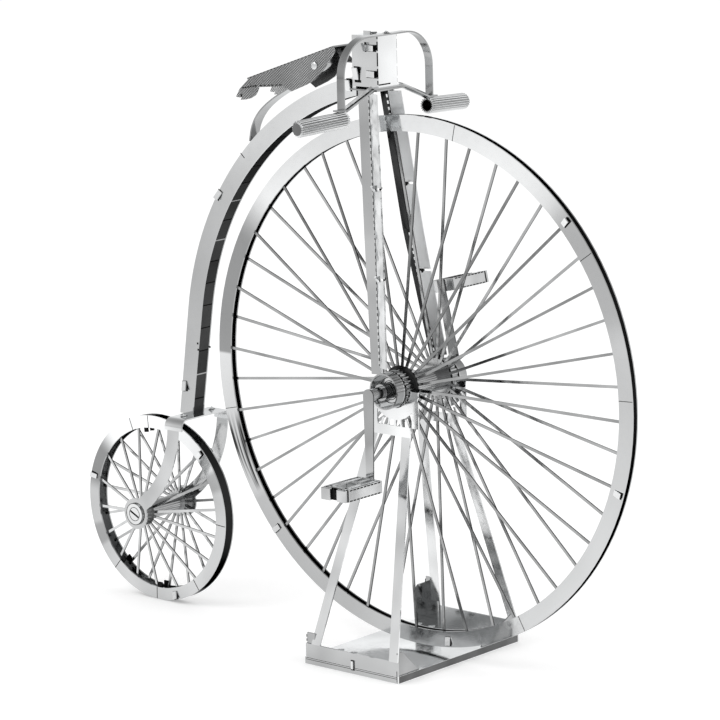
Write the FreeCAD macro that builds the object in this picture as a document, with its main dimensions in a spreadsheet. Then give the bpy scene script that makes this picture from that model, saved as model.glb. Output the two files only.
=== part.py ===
import FreeCAD, Part
import math
import os
import Sketcher
from FreeCAD import Placement, Rotation, Vector

# Desk model of a penny farthing, folded from thin polished sheet and carried by a small stand.
# Millimetres. +X is forward, +Y is the rider's left, +Z is up. The floor is Z = 0 and the origin lies
# on it, midway between the back of the small wheel and the front of the large one.

# --------------------------------------------------------------------------------------------------
# Driving dimensions: name, value, what it is.
# --------------------------------------------------------------------------------------------------
SIZES = [
    ("sheet", 0.3, "thickness of every folded plate"),
    ("fit", 0.05, "radial clearance of a turning fit"),
    ("seat", 0.02, "clearance between a round piece and its seat"),
    ("front_radius", 53.0, "large wheel, outside"),
    ("front_ring", 3.2, "radial width of the large wheel's flat rings"),
    ("front_rim_half", 0.85, "half the width over both rings, large wheel"),
    ("front_flange_y", 4.9, "large wheel's spoke star, from the middle plane"),
    ("front_flange_radius", 4.2, "radius of the star's middle disc"),
    ("front_tab_y", 0.05, "where the spoke tips end, from the middle plane"),
    ("front_tab_reach", 1.6, "spoke tips reach this far under the rings"),
    ("front_drum_radius", 3.7, "fluted drum outside each star"),
    ("front_drum_end", 7.9, "outer end of the drum, from the middle plane"),
    ("front_barrel_radius", 2.4, "barrel between the stars"),
    ("front_axle_radius", 1.2, "axle pin"),
    ("rear_radius", 19.9, "small wheel, outside"),
    ("rear_ring", 2.6, "radial width of the small wheel's flat rings"),
    ("rear_rim_half", 1.35, "half the width over both rings, small wheel"),
    ("rear_behind", 19.4, "small axle behind the large wheel's rim"),
    ("rear_flange_y", 5.0, "small wheel's spoke star, from the middle plane"),
    ("rear_flange_radius", 3.0, "radius of that star's middle disc"),
    ("rear_tab_y", 0.5, "where the small spoke tips end, from the middle plane"),
    ("rear_tab_reach", 0.5, "small spoke tips reach this far under the rings"),
    ("rear_barrel_radius", 1.9, "barrel of the small hub"),
    ("rear_drum_radius", 2.8, "drum outside each small star"),
    ("rear_axle_radius", 0.9, "small axle pin"),
    ("rear_cap_radius", 2.2, "round cap on each end of the small axle"),
    ("spoke_width", 0.55, "width of a spoke strip"),
    ("front_spoke_count", 24, "spokes in one star of the large wheel"),
    ("rear_spoke_count", 18, "spokes in one star of the small wheel"),
    ("eye_y", 8.3, "fork eyes, inner face from the middle plane"),
    ("eye_radius", 3.6, "outer radius of a fork eye"),
    ("cup_end", 10.6, "outer end of the cup on each fork eye, from the middle plane"),
    ("sleeve_radius", 1.65, "sleeve round the axle in each cup"),
    ("sleeve_end", 11.4, "outer end of a sleeve, from the middle plane"),
    ("crank_y", 13.3, "cranks, inner face from the middle plane"),
    ("axle_slide", 1.6, "how far the axle is pushed towards the right"),
    ("crank_length", 17.6, "axle to pedal middle"),
    ("crank_width", 2.6, "crank width at the axle"),
    ("crank_tip_width", 1.7, "crank width at the pedal"),
    ("crank_lag", 12.0, "degrees by which the left crank falls short of opposite"),
    ("pedal_length", 10.8, "pedal, along the axle's direction"),
    ("pedal_depth", 6.4, "pedal, front to back"),
    ("pedal_height", 2.5, "pedal, up and down"),
    ("wheel_gap", 1.05, "large wheel above the stand's plate"),
    ("base_height", 1.4, "stand plate's top above the floor"),
    ("base_back", 15.1, "stand plate, reach behind the large axle"),
    ("base_front", 9.2, "stand plate, reach ahead of the large axle"),
    ("base_half", 18.7, "half the stand plate's width"),
    ("stand_wall", 2.8, "height of the wall on each side of the plate"),
    ("leg_width", 2.2, "width of a stand leg"),
    ("leg_back_foot", 12.2, "rear stand leg's foot behind the axle"),
    ("leg_back_top", 5.6, "rear stand leg's top behind the axle"),
    ("leg_front_foot", 8.0, "front stand leg's foot ahead of the axle"),
    ("leg_front_top", 2.8, "front stand leg's top ahead of the axle"),
    ("cradle_y", 7.2, "stand cradle, inner face from the middle plane"),
    ("cradle_width", 2.35, "radial width of the cradle's arc"),
    ("cradle_post", 1.7, "width of each post beside the cradle's arc"),
    ("cradle_drop", 7.3, "crossbar's top below the axle"),
    ("crossbar", 2.0, "height of the cradle's crossbar"),
    ("crown_gap", 4.5, "large wheel to the fork crown's underside"),
    ("crown_back", 12.6, "fork crown, reach behind the axle"),
    ("crown_front", 5.6, "fork crown's front edge behind the axle"),
    ("crown_half", 4.2, "half the crown's width"),
    ("head_back", 13.0, "head box, rear face behind the axle"),
    ("head_front", 6.3, "head box, front face behind the axle"),
    ("head_half", 2.8, "half the head box's width"),
    ("head_height", 10.0, "head box height"),
    ("head_tab_back", 2.5, "tab on the head box's top, middle ahead of the rear face"),
    ("head_tab_side", 1.2, "tab on the head box's top, to the right of the middle"),
    ("head_tab_width", 1.7, "width of that tab"),
    ("head_tab_up", 0.75, "how far that tab stands up"),
    ("bar_back", 6.9, "handlebar strip's middle behind the axle"),
    ("bar_width", 1.8, "handlebar strip's width"),
    ("bar_half", 13.3, "half the handlebar hoop's width"),
    ("bar_radius", 7.5, "radius of the hoop's shoulders"),
    ("grip_under", 4.5, "grip axis below the crown's underside, inner end"),
    ("grip_inner", 12.3, "grip's inner end from the middle plane"),
    ("grip_length", 12.8, "length of a grip"),
    ("grip_radius", 1.65, "outer radius of a grip"),
    ("grip_sweep", 4.0, "degrees by which a grip sweeps back"),
    ("grip_droop", 2.5, "degrees by which a grip droops"),
    ("brace_tip", 14.6, "tip of the brace on the grip, from the middle plane"),
    ("spine_gap", 4.6, "large wheel to the backbone"),
    ("spine_width", 3.7, "backbone, inner edge to outer edge"),
    ("spine_half", 1.75, "half the backbone's thickness across"),
    ("spine_leave", 9.0, "height above the large axle where the backbone leaves the wheel's curve"),
    ("spine_over", 1.95, "backbone's lower end above the small wheel"),
    ("rear_crown_inset", 1.1, "rear crown's back edge ahead of the backbone's lower corner"),
    ("rear_crown_width", 4.8, "rear crown, front to back"),
    ("rear_crown_drop", 2.4, "rear crown's side arms, top to bottom"),
    ("rear_crown_round", 1.8, "outer radius of the rear crown's corners"),
    ("rear_blade_y", 7.3, "rear fork blades, inner face from the middle plane"),
    ("rear_blade_inset", 2.3, "rear blade's middle ahead of the crown's back edge"),
    ("rear_blade_width", 3.0, "width of a rear fork blade"),
    ("rear_blade_bend", 23.0, "radius of a rear blade's curve"),
    ("rear_blade_start", 0.8, "height below the backbone's end where that curve starts"),
    ("rear_blade_turn", 56.0, "degrees the curve turns through"),
    ("rear_eye_radius", 3.3, "outer radius of a rear fork eye"),
    ("saddle_over", 8.1, "saddle's nose above the crown's underside"),
    ("saddle_nose_back", 18.25, "saddle's nose behind the large axle"),
    ("saddle_length", 22.3, "saddle, nose to tail"),
    ("saddle_rise", 19.25, "degrees by which the saddle rises to its nose"),
    ("saddle_nose_half", 2.4, "half the nose's width"),
    ("saddle_tail_half", 4.8, "half the tail's width"),
    ("spring_width", 2.6, "width of the saddle's leaf spring"),
]

doc = FreeCAD.newDocument("PennyFarthing")
sheet = doc.addObject("Spreadsheet::Sheet", "Sizes")
for row, (name, value, note) in enumerate(SIZES, start=1):
    sheet.set("A%d" % row, name)
    sheet.set("B%d" % row, str(value))
    sheet.set("C%d" % row, note)
    sheet.setAlias("B%d" % row, name)
doc.recompute()


class Size:
    """A length, angle or count that carries its number and the expression that drives it."""

    def __init__(self, value, text):
        self.value = float(value)
        self.text = text

    @staticmethod
    def of(other):
        return other if isinstance(other, Size) else Size(other, repr(float(other)))

    def join(self, other, sign, value):
        return Size(value, "(%s %s %s)" % (self.text, sign, Size.of(other).text))

    def __add__(self, other):
        return self.join(other, "+", self.value + Size.of(other).value)

    def __sub__(self, other):
        return self.join(other, "-", self.value - Size.of(other).value)

    def __mul__(self, other):
        return self.join(other, "*", self.value * Size.of(other).value)

    def __truediv__(self, other):
        return self.join(other, "/", self.value / Size.of(other).value)

    def __radd__(self, other):
        return Size.of(other) + self

    def __rsub__(self, other):
        return Size.of(other) - self

    def __rmul__(self, other):
        return Size.of(other) * self

    def __rtruediv__(self, other):
        return Size.of(other) / self

    def __neg__(self):
        return Size(-self.value, "(0 - %s)" % self.text)


def root(size):
    return Size(math.sqrt(size.value), "sqrt(%s)" % size.text)


def sine(size):
    return Size(math.sin(math.radians(size.value)), "sin(%s * 1 deg)" % size.text)


def cosine(size):
    return Size(math.cos(math.radians(size.value)), "cos(%s * 1 deg)" % size.text)


def arctan(size):
    """Angle in degrees, as a plain number."""
    return Size(math.degrees(math.atan(size.value)), "(atan(%s) / (1 deg))" % size.text)


S = {name: Size(sheet.get(name), "Sizes." + name) for name, value, note in SIZES}
NODES = []


def bind(target, path, size):
    """Drive one property, or one part of a placement, from the sheet."""
    size = Size.of(size)
    target.setExpression(path, size.text)


def place(target, x=0, y=0, z=0, axis=None, angle=0):
    """Position an object from the sheet, turned by an angle about a fixed axis."""
    if axis is not None:
        target.Placement = Placement(Vector(), Rotation(Vector(*axis), 1))
        bind(target, "Placement.Rotation.Angle", angle)
    for letter, size in (("x", x), ("y", y), ("z", z)):
        bind(target, "Placement.Base." + letter, size)


def node(label, target):
    """Name a finished sub-part; its label is its file name."""
    target.Label = label
    NODES.append(target)
    return target


def origin_feature(body, role):
    return [item for item in body.Origin.OriginFeatures if item.Role == role][0]


def arc_between(start, end, radius):
    """The short arc from start to end; a positive radius bulges to the left of the chord."""
    chord = end - start
    middle = (start + end) * 0.5
    left = Vector(-chord.y, chord.x, 0).normalize()
    reach = math.sqrt(max(radius * radius - chord.Length * chord.Length / 4, 0))
    side = 1 if radius > 0 else -1
    centre = middle - left * reach * side
    top = centre + left * abs(radius) * side
    return Part.Arc(start, top, end), centre


def draw(sketch, outline):
    """
    Draw and fully constrain a closed outline.

    outline is a list of (across, up, bulge): a corner, and the radius of the arc that leads from it to
    the next corner, or None for a straight edge.
    """
    corners = [Vector(Size.of(a).value, Size.of(b).value, 0) for a, b, bulge in outline]
    count = len(outline)
    for index, (across, up, bulge) in enumerate(outline):
        start = corners[index]
        end = corners[(index + 1) % count]
        if bulge is None:
            sketch.addGeometry(Part.LineSegment(start, end), False)
        else:
            arc, centre = arc_between(start, end, Size.of(bulge).value)
            sketch.addGeometry(arc, False)
    first = []
    for index in range(count):
        edge = sketch.Geometry[index]
        near = sketch.getPoint(index, 1)
        first.append(1 if (near - corners[index]).Length < 1e-6 else 2)
    for index in range(count):
        after = (index + 1) % count
        last = 3 - first[index]
        sketch.addConstraint(Sketcher.Constraint("Coincident", index, last, after, first[after]))
    for index, (across, up, bulge) in enumerate(outline):
        for kind, size in (("DistanceX", across), ("DistanceY", up)):
            size = Size.of(size)
            number = sketch.addConstraint(
                Sketcher.Constraint(kind, -1, 1, index, first[index], size.value))
            if "Sizes." in size.text:
                sketch.setExpression("Constraints[%d]" % number, size.text)
        if bulge is not None:
            radius = Size.of(bulge)
            number = sketch.addConstraint(Sketcher.Constraint("Radius", index, abs(radius.value)))
            text = radius.text if radius.value > 0 else "(0 - %s)" % radius.text
            sketch.setExpression("Constraints[%d]" % number, text)


def plate(name, outline, thickness, role="XZ_Plane", reverse=False):
    """A flat plate: an outline on one of the body's own planes, padded by a thickness."""
    body = doc.addObject("PartDesign::Body", name)
    sketch = body.newObject("Sketcher::SketchObject", name + "_outline")
    sketch.AttachmentSupport = (origin_feature(body, role), [""])
    sketch.MapMode = "FlatFace"
    draw(sketch, outline)
    pad = body.newObject("PartDesign::Pad", name + "_pad")
    pad.Profile = sketch
    pad.Reversed = reverse
    bind(pad, "Length", thickness)
    return body


def disc(name, radius, low, high, x=0, z=0, bore=None):
    """A round piece along Y from low to high, with an optional bore."""
    solid = doc.addObject("Part::Cylinder", name)
    bind(solid, "Radius", radius)
    bind(solid, "Height", high - low)
    place(solid, x, high, z, axis=(1, 0, 0), angle=90)
    if bore is None:
        return solid
    hole = doc.addObject("Part::Cylinder", name + "_bore")
    bind(hole, "Radius", bore)
    bind(hole, "Height", high - low + 2)
    place(hole, x, high + 1, z, axis=(1, 0, 0), angle=90)
    return cut(name + "_bored", solid, hole)


def block(name, low, high):
    """A box between two corners."""
    solid = doc.addObject("Part::Box", name)
    for path, axis in (("Length", 0), ("Width", 1), ("Height", 2)):
        bind(solid, path, high[axis] - low[axis])
    place(solid, *low)
    return solid


def cut(name, base, tool):
    result = doc.addObject("Part::Cut", name)
    result.Base = base
    result.Tool = tool
    return result


def fuse(name, *shapes):
    result = doc.addObject("Part::MultiFuse", name)
    result.Shapes = list(shapes)
    return result


def group(name, *shapes):
    """Like pieces that share a node and don't touch."""
    result = doc.addObject("Part::Compound", name)
    result.Links = list(shapes)
    return result


def at_front(target):
    """Carry a piece drawn round the large axle to its place."""
    moved = group(target.Name + "_placed", target)
    place(moved, axle_x, 0, axle_z)
    return moved


def at_rear(target):
    """Carry a piece drawn round the small axle to its place."""
    moved = group(target.Name + "_placed", target)
    place(moved, rear_x, 0, rear_z)
    return moved


def mirror(name, source):
    """The left-hand twin of a right-hand piece."""
    result = doc.addObject("Part::Mirroring", name)
    result.Source = source
    result.Base = Vector(0, 0, 0)
    result.Normal = Vector(0, 1, 0)
    return result


def loft(name, stations):
    """A straight-sided blade through closed outlines at given heights: (height, outline)."""
    sections = []
    for index, (height, outline) in enumerate(stations):
        sketch = doc.addObject("Sketcher::SketchObject", "%s_section_%d" % (name, index))
        draw(sketch, [(x, y, None) for x, y in outline])
        bind(sketch, "Placement.Base.z", height)
        sections.append(sketch)
    result = doc.addObject("Part::Loft", name)
    result.Sections = sections
    result.Solid = True
    result.Ruled = True
    return result


def folded(points, thickness):
    """Closed outline of a folded strip: its outer line, then back along the inner one."""
    inner = [(x, y + thickness) for x, y in reversed(points)]
    return points + inner


# --------------------------------------------------------------------------------------------------
# Places that everything shares.
# --------------------------------------------------------------------------------------------------
t = S["sheet"]
axle_z = S["base_height"] + S["wheel_gap"] + S["front_radius"]
rear_back = S["front_radius"] + S["rear_behind"]
crown_up = S["front_radius"] + S["crown_gap"]
grip_up = crown_up - S["grip_under"]
saddle_nose_up = crown_up + S["saddle_over"]
axle_x = (rear_back + S["rear_radius"] - S["front_radius"]) / 2
rear_x = axle_x - rear_back
rear_z = S["rear_radius"]
spine_down = axle_z - rear_z - S["rear_radius"] - S["spine_over"]
crown_top = axle_z + crown_up + t
head_low = crown_top + t
head_top = head_low + S["head_height"]

# --------------------------------------------------------------------------------------------------
# Stand: a low plate with turned-down edges, a wall on each side, splayed legs and a cradle that
# carries the large hub's drums.
# --------------------------------------------------------------------------------------------------
base_x0 = axle_x - S["base_back"]
base_x1 = axle_x + S["base_front"]
base = cut(
    "stand_base_cut",
    block("stand_base_block", (base_x0, -S["base_half"], Size.of(0)),
          (base_x1, S["base_half"], S["base_height"])),
    block("stand_base_hollow", (base_x0 + t, t - S["base_half"], Size.of(-1)),
          (base_x1 - t, S["base_half"] - t, S["base_height"] - t)))
node("stand_base", base)

wall_y0 = -S["base_half"]
wall_top = S["base_height"] + S["stand_wall"]
wall = block("stand_wall_block", (base_x0 + t, wall_y0, S["base_height"]),
             (base_x1, wall_y0 + t, wall_top))
node("stand_wall_right", wall)
node("stand_wall_left", mirror("stand_wall_twin", wall))

# Each leg is a flat strip from the wall's top to the cradle: name, foot x, top x.
leg_half = S["leg_width"] / 2
cradle_y = -(S["cradle_y"] + t)
leg_top = axle_z - S["cradle_drop"] - S["crossbar"]
LEGS = [
    ("stand_rear_leg", axle_x - S["leg_back_foot"], axle_x - S["leg_back_top"]),
    ("stand_front_leg", axle_x + S["leg_front_foot"], axle_x + S["leg_front_top"]),
]
for name, foot, top in LEGS:
    leg = loft(name + "_strip", [
        (wall_top, folded([(foot - leg_half, wall_y0), (foot + leg_half, wall_y0)], t)),
        (leg_top, folded([(top - leg_half, cradle_y), (top + leg_half, cradle_y)], t)),
    ])
    node(name + "_right", leg)
    node(name + "_left", mirror(name + "_twin", leg))

# Gussets fold inward from the ends of the walls: name, face x.
gusset_bits = []
for name, face in (("rear", base_x0 + t + t), ("front", base_x1)):
    gusset = plate("gusset_" + name, [
        (-S["base_half"] + t + S["seat"], S["base_height"], None),
        (-S["base_half"] + 6.2, S["base_height"], None),
        (-S["base_half"] + 3.0, wall_top + 1.2, None),
        (-S["base_half"] + t + 0.4, wall_top + 1.2, None),
    ], t, role="YZ_Plane", reverse=True)
    place(gusset, face)
    gusset_bits += [gusset, mirror("gusset_twin_" + name, gusset)]
node("stand_gussets", group("stand_gusset_set", *gusset_bits))

# The cradle: lower half of a ring round the drum, two posts and a crossbar between the legs.
cradle_in = S["front_drum_radius"] + S["fit"]
cradle_out = cradle_in + S["cradle_width"]
post_low = -S["cradle_drop"]
bar_low = -S["cradle_drop"] - S["crossbar"]
arc_side = disc("cradle_ring", cradle_out, -t, Size.of(0), bore=cradle_in)
arc_mask = block("cradle_mask", (-cradle_out - 1, -t - 1, Size.of(0)),
                 (cradle_out + 1, Size.of(1), cradle_out + 1))
cradle_arc = cut("cradle_arc", arc_side, arc_mask)
bar_left = -S["leg_back_top"] - leg_half
bar_right = S["leg_front_top"] + leg_half
crossbar = block("cradle_bar", (bar_left, -t, bar_low), (bar_right, Size.of(0), post_low))
post_height = S["cradle_drop"] - cradle_in / 2
post_back = block("cradle_post_back", (-cradle_out, -t, post_low),
                  (S["cradle_post"] - cradle_out, Size.of(0), post_low + post_height))
post_front = block("cradle_post_front", (cradle_out - S["cradle_post"], -t, post_low),
                   (cradle_out, Size.of(0), post_low + post_height))
drum_room = disc("cradle_room", cradle_in, -t - 1, Size.of(1))
cradle_bits = [cradle_arc, crossbar, post_back, post_front]
for index in range(5):
    lean = 13 * (index - 2)
    top = 0.3 - cradle_out
    foot = post_low - 0.2
    spread = math.tan(math.radians(lean))
    cradle_bits.append(plate("cradle_slat_%d" % index, [
        (top * -spread - 0.18, top, None),
        (top * -spread + 0.18, top, None),
        (foot * -spread + 0.18, foot, None),
        (foot * -spread - 0.18, foot, None),
    ], t))
cradle = cut("cradle_plate", fuse("cradle_joined", *cradle_bits), drum_room)
place(cradle, axle_x, -S["cradle_y"], axle_z)
node("stand_cradle_right", cradle)
node("stand_cradle_left", mirror("cradle_twin", cradle))


# --------------------------------------------------------------------------------------------------
# Wheels: two flat rings with a tread band between them, and a spoke star on each side.
# --------------------------------------------------------------------------------------------------


def rings(name, radius, width, half):
    inner = radius - width
    right = disc(name + "_ring_right", radius, -half, t - half, bore=inner)
    left = disc(name + "_ring_left", radius, half - t, half, bore=inner)
    return group(name + "_rings", right, left)


def star(name, side, phase, bore, disc_radius, disc_y, tip_radius, tip_y, count):
    """A pressed spoke star: a middle disc and straight strips that close in on the rim."""
    body = doc.addObject("PartDesign::Body", name)
    sketch = body.newObject("Sketcher::SketchObject", name + "_outline")
    sketch.AttachmentSupport = (origin_feature(body, "XZ_Plane"), [""])
    sketch.MapMode = "FlatFace"
    for index, radius in enumerate((disc_radius, bore)):
        sketch.addGeometry(Part.Circle(Vector(), Vector(0, 0, 1), radius.value), False)
        sketch.addConstraint(Sketcher.Constraint("Coincident", index, 3, -1, 1))
        number = sketch.addConstraint(Sketcher.Constraint("Radius", index, radius.value))
        sketch.setExpression("Constraints[%d]" % number, radius.text)
    face = Size.of(0) - disc_y if side < 0 else disc_y + t
    bind(sketch, "AttachmentOffset.Base.z", Size.of(0) - face)
    pad = body.newObject("PartDesign::Pad", name + "_disc")
    pad.Profile = sketch
    bind(pad, "Length", t)
    start = disc_radius - 0.7
    run = tip_radius - start
    rise = disc_y - tip_y
    lean = arctan(rise / run)
    strip = body.newObject("PartDesign::AdditiveBox", name + "_strip")
    bind(strip, "Length", root(run * run + rise * rise))
    bind(strip, "Width", t)
    bind(strip, "Height", S["spoke_width"])
    corner_y = -(disc_y + t) if side < 0 else disc_y
    angle = lean if side < 0 else -lean
    place(strip, start, corner_y, -S["spoke_width"] / 2, axis=(0, 0, 1), angle=angle)
    pattern = body.newObject("PartDesign::PolarPattern", name + "_pattern")
    pattern.Originals = [strip]
    pattern.Axis = (origin_feature(body, "Y_Axis"), [""])
    pattern.Angle = 360
    bind(pattern, "Occurrences", count)
    body.Tip = pattern
    body.Placement = Placement(Vector(), Rotation(Vector(0, 1, 0), 1))
    bind(body, "Placement.Rotation.Angle", phase)
    return body


def wheel(name, at, radius, width, half, bore, disc_radius, disc_y, reach, tip_y, count, phases):
    rim = rings(name, radius, width, half)
    node(name + "_wheel_rings", at(rim))
    band = disc(name + "_band", radius, t - half, half - t, bore=radius - t)
    node(name + "_wheel_tread", at(band))
    for side, hand, phase in ((-1, "right", phases[0]), (1, "left", phases[1])):
        body = star("%s_star_%s" % (name, hand), side, phase, bore, disc_radius, disc_y,
                    radius - width + reach, tip_y, count)
        node("%s_spokes_%s" % (name, hand), at(body))


front_bore = S["front_axle_radius"] + S["seat"]
rear_bore = S["rear_axle_radius"] + S["seat"]
wheel("front", at_front, S["front_radius"], S["front_ring"], S["front_rim_half"], front_bore,
      S["front_flange_radius"], S["front_flange_y"], S["front_tab_reach"], S["front_tab_y"],
      S["front_spoke_count"], (-13.3, -5.8))
wheel("rear", at_rear, S["rear_radius"], S["rear_ring"], S["rear_rim_half"], rear_bore,
      S["rear_flange_radius"], S["rear_flange_y"], S["rear_tab_reach"], S["rear_tab_y"],
      S["rear_spoke_count"], (-6.6, 7))

# Hubs.
front_barrel = disc("front_barrel", S["front_barrel_radius"], -S["front_flange_y"],
                    S["front_flange_y"], bore=front_bore)
node("front_hub", at_front(front_barrel))
drums = []
for hand, low, high in (("right", -S["front_drum_end"], -(S["front_flange_y"] + t)),
                        ("left", S["front_flange_y"] + t, S["front_drum_end"])):
    drums.append(disc("front_drum_" + hand, S["front_drum_radius"], low, high, bore=front_bore))
node("front_hub_drums", at_front(group("front_drum_set", *drums)))
front_pin = disc("front_pin", S["front_axle_radius"], -(S["crank_y"] + S["axle_slide"]),
                 S["crank_y"] - S["axle_slide"])
node("front_axle", at_front(front_pin))

rear_barrel = disc("rear_barrel", S["rear_barrel_radius"], -S["rear_flange_y"],
                   S["rear_flange_y"], bore=rear_bore)
node("rear_hub", at_rear(rear_barrel))
rear_drums = []
for hand, low, high in (("right", S["fit"] - S["rear_blade_y"], -(S["rear_flange_y"] + t)),
                        ("left", S["rear_flange_y"] + t, S["rear_blade_y"] - S["fit"])):
    rear_drums.append(disc("rear_drum_" + hand, S["rear_drum_radius"], low, high,
                           bore=rear_bore))
node("rear_hub_drums", at_rear(group("rear_drum_set", *rear_drums)))
rear_end = S["rear_blade_y"] + t + S["fit"]
rear_pin = disc("rear_pin", S["rear_axle_radius"], -rear_end, rear_end)
rear_caps = []
for hand, low, high in (("right", -(rear_end + t), -rear_end), ("left", rear_end, rear_end + t)):
    rear_caps.append(disc("rear_cap_" + hand, S["rear_cap_radius"], low, high))
node("rear_axle", at_rear(fuse("rear_axle_joined", rear_pin, *rear_caps)))

# --------------------------------------------------------------------------------------------------
# Cranks and pedals, drawn hanging straight down on the right; the left pair is turned up.
# --------------------------------------------------------------------------------------------------
crank_half = S["crank_width"] / 2
tip_half = S["crank_tip_width"] / 2
pedal_low = -(S["crank_length"] + S["pedal_height"] / 2)


def crank_plate(name):
    return plate(name, [
        (-crank_half, 0, crank_half),
        (0, crank_half, crank_half),
        (crank_half, 0, None),
        (tip_half, pedal_low, None),
        (-tip_half, pedal_low, None),
    ], t)


def pedal_box(name, pedal_y0):
    half = S["pedal_depth"] / 2
    outer = block(name + "_outer", (-half, pedal_y0 - S["pedal_length"], pedal_low),
                  (half, pedal_y0, pedal_low + S["pedal_height"]))
    inner = block(name + "_inner", (t - half, pedal_y0 - S["pedal_length"] + t, pedal_low + t),
                  (half - t, pedal_y0 - t, pedal_low + S["pedal_height"] + 1))
    return cut(name, outer, inner)


for hand, crank_y in (("right", S["crank_y"] + S["axle_slide"]),
                      ("left", S["crank_y"] - S["axle_slide"])):
    bar = crank_plate("crank_plate_" + hand)
    place(bar, 0, -crank_y, 0)
    pedal = pedal_box("pedal_box_" + hand, -(crank_y + t))
    for label, piece in (("crank_" + hand, bar), ("pedal_" + hand, pedal)):
        if hand == "right":
            shown = group(label + "_set", piece)
            place(shown, axle_x, 0, axle_z)
        else:
            shown = group(label + "_set", mirror(label + "_twin", piece))
            place(shown, axle_x, 0, axle_z, axis=(0, 1, 0), angle=180 - S["crank_lag"])
        node(label, shown)

# --------------------------------------------------------------------------------------------------
# Fork: two V-folded blades under a crown, each ending in a round eye.
# --------------------------------------------------------------------------------------------------
# Height above the axle, fold behind the axle, fold from the middle plane, size of the section.
BLADE = [
    (crown_up, -9.0, S["crown_half"] - 1.8, 1.05),
    (crown_up * 0.51, -5.95, S["eye_y"] - 3.35, 1.05),
    (S["eye_radius"] * 0.78, -2.45, S["eye_y"] + 0.02, 0.85),
]
stations = []
for up, x, y, scale in BLADE:
    out = Size.of(0) - y
    stations.append((up, [
        (Size.of(x - 2.1 * scale), out - 0.6 * scale - t),
        (Size.of(x), out - t),
        (Size.of(x + 1.35 * scale), out - 0.5 * scale - t),
        (Size.of(x + 1.35 * scale), out - 0.5 * scale),
        (Size.of(x), out),
        (Size.of(x - 2.1 * scale), out - 0.6 * scale),
    ]))
blade = loft("fork_blade_strip", stations)
eye = disc("fork_eye", S["eye_radius"], -(S["eye_y"] + t), -S["eye_y"])
eye_hole = disc("fork_eye_hole", S["front_axle_radius"] + S["fit"], -(S["eye_y"] + 2),
                1 - S["eye_y"])
cup_room = disc("fork_cup_room", S["eye_radius"] + S["seat"], -(S["cup_end"] + 1),
                -(S["eye_y"] + t))
fork = cut("fork_blade_trimmed", fuse("fork_blade_joined", blade, eye), cup_room)
fork = cut("fork_blade_cut", fork, eye_hole)
fork = at_front(fork)
node("fork_blade_right", fork)
node("fork_blade_left", mirror("fork_blade_twin", fork))

# A cup on each eye, and inside it a sleeve that turns with the axle: name, radius, bore, ends.
cup_face = S["eye_y"] + t
for name, radius, bore, start, end in (
        ("fork_eye_cups", S["eye_radius"], S["eye_radius"] - t, cup_face, S["cup_end"]),
        ("front_axle_sleeves", S["sleeve_radius"], front_bore, cup_face + S["fit"],
         S["sleeve_end"])):
    pair = [disc(name + "_right", radius, -end, -start, bore=bore),
            disc(name + "_left", radius, start, end, bore=bore)]
    node(name, at_front(group(name + "_set", *pair)))

crown = block("fork_crown_block", (-S["crown_back"], -S["crown_half"], crown_up),
              (-S["crown_front"], S["crown_half"], crown_up + t))
node("fork_crown", at_front(crown))

# Head box, open below, seated on the brace that lies on the crown.
head_z0 = crown_up + t + t
head_z1 = head_z0 + S["head_height"]
head = cut(
    "head_box_cut",
    block("head_box_block", (-S["head_back"], -S["head_half"], head_z0),
          (-S["head_front"], S["head_half"], head_z1)),
    block("head_box_hollow", (t - S["head_back"], t - S["head_half"], head_z0 - 1),
          (-S["head_front"] - t, S["head_half"] - t, head_z1 - t)))
tab_x = S["head_tab_back"] - S["head_back"]
head_tab = block("head_box_tab",
                 (tab_x - S["head_tab_width"] / 2, -S["head_tab_side"], head_z1 - t),
                 (tab_x + S["head_tab_width"] / 2, t - S["head_tab_side"],
                  head_z1 + S["head_tab_up"]))
node("head_box", at_front(fuse("head_box_joined", head, head_tab)))

# --------------------------------------------------------------------------------------------------
# Handlebar: a flat strip arched over the head, a brace under the head, and tubular grips.
# --------------------------------------------------------------------------------------------------
grip_top = grip_up + S["grip_radius"]
shoulder = S["bar_half"] - S["bar_radius"]
bar_front = -S["bar_back"] - S["bar_width"] / 2
arm_low = grip_top + S["seat"] + t
arm = plate("handlebar_arm", [
    (0, head_z1 + t, None),
    (-shoulder, head_z1 + t, -S["bar_radius"]),
    (-S["bar_half"], head_z1 + t - S["bar_radius"], None),
    (-S["bar_half"], arm_low, None),
    (t - S["bar_half"], arm_low, None),
    (t - S["bar_half"], head_z1 + t - S["bar_radius"], S["bar_radius"] - t),
    (-shoulder, head_z1, None),
    (0, head_z1, None),
], S["bar_width"], role="YZ_Plane")
place(arm, axle_x + bar_front, 0, axle_z)
node("handlebar_arm_right", arm)
node("handlebar_arm_left", mirror("handlebar_arm_twin", arm))

brace_z = crown_up + t
brace_half = S["crown_half"] + S["seat"]
brace_knee = S["grip_inner"] - 0.1
brace_drop = grip_top + S["seat"]
brace = plate("handlebar_brace_strip", [
    (-brace_half, brace_z, None),
    (brace_half, brace_z, None),
    (brace_knee, brace_drop, None),
    (S["brace_tip"], brace_drop, None),
    (S["brace_tip"], brace_drop + t, None),
    (brace_knee, brace_drop + t, None),
    (brace_half, brace_z + t, None),
    (-brace_half, brace_z + t, None),
    (-brace_knee, brace_drop + t, None),
    (-S["brace_tip"], brace_drop + t, None),
    (-S["brace_tip"], brace_drop, None),
    (-brace_knee, brace_drop, None),
], S["bar_width"], role="YZ_Plane")
place(brace, axle_x + bar_front, 0, axle_z)
node("handlebar_brace", brace)

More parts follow.
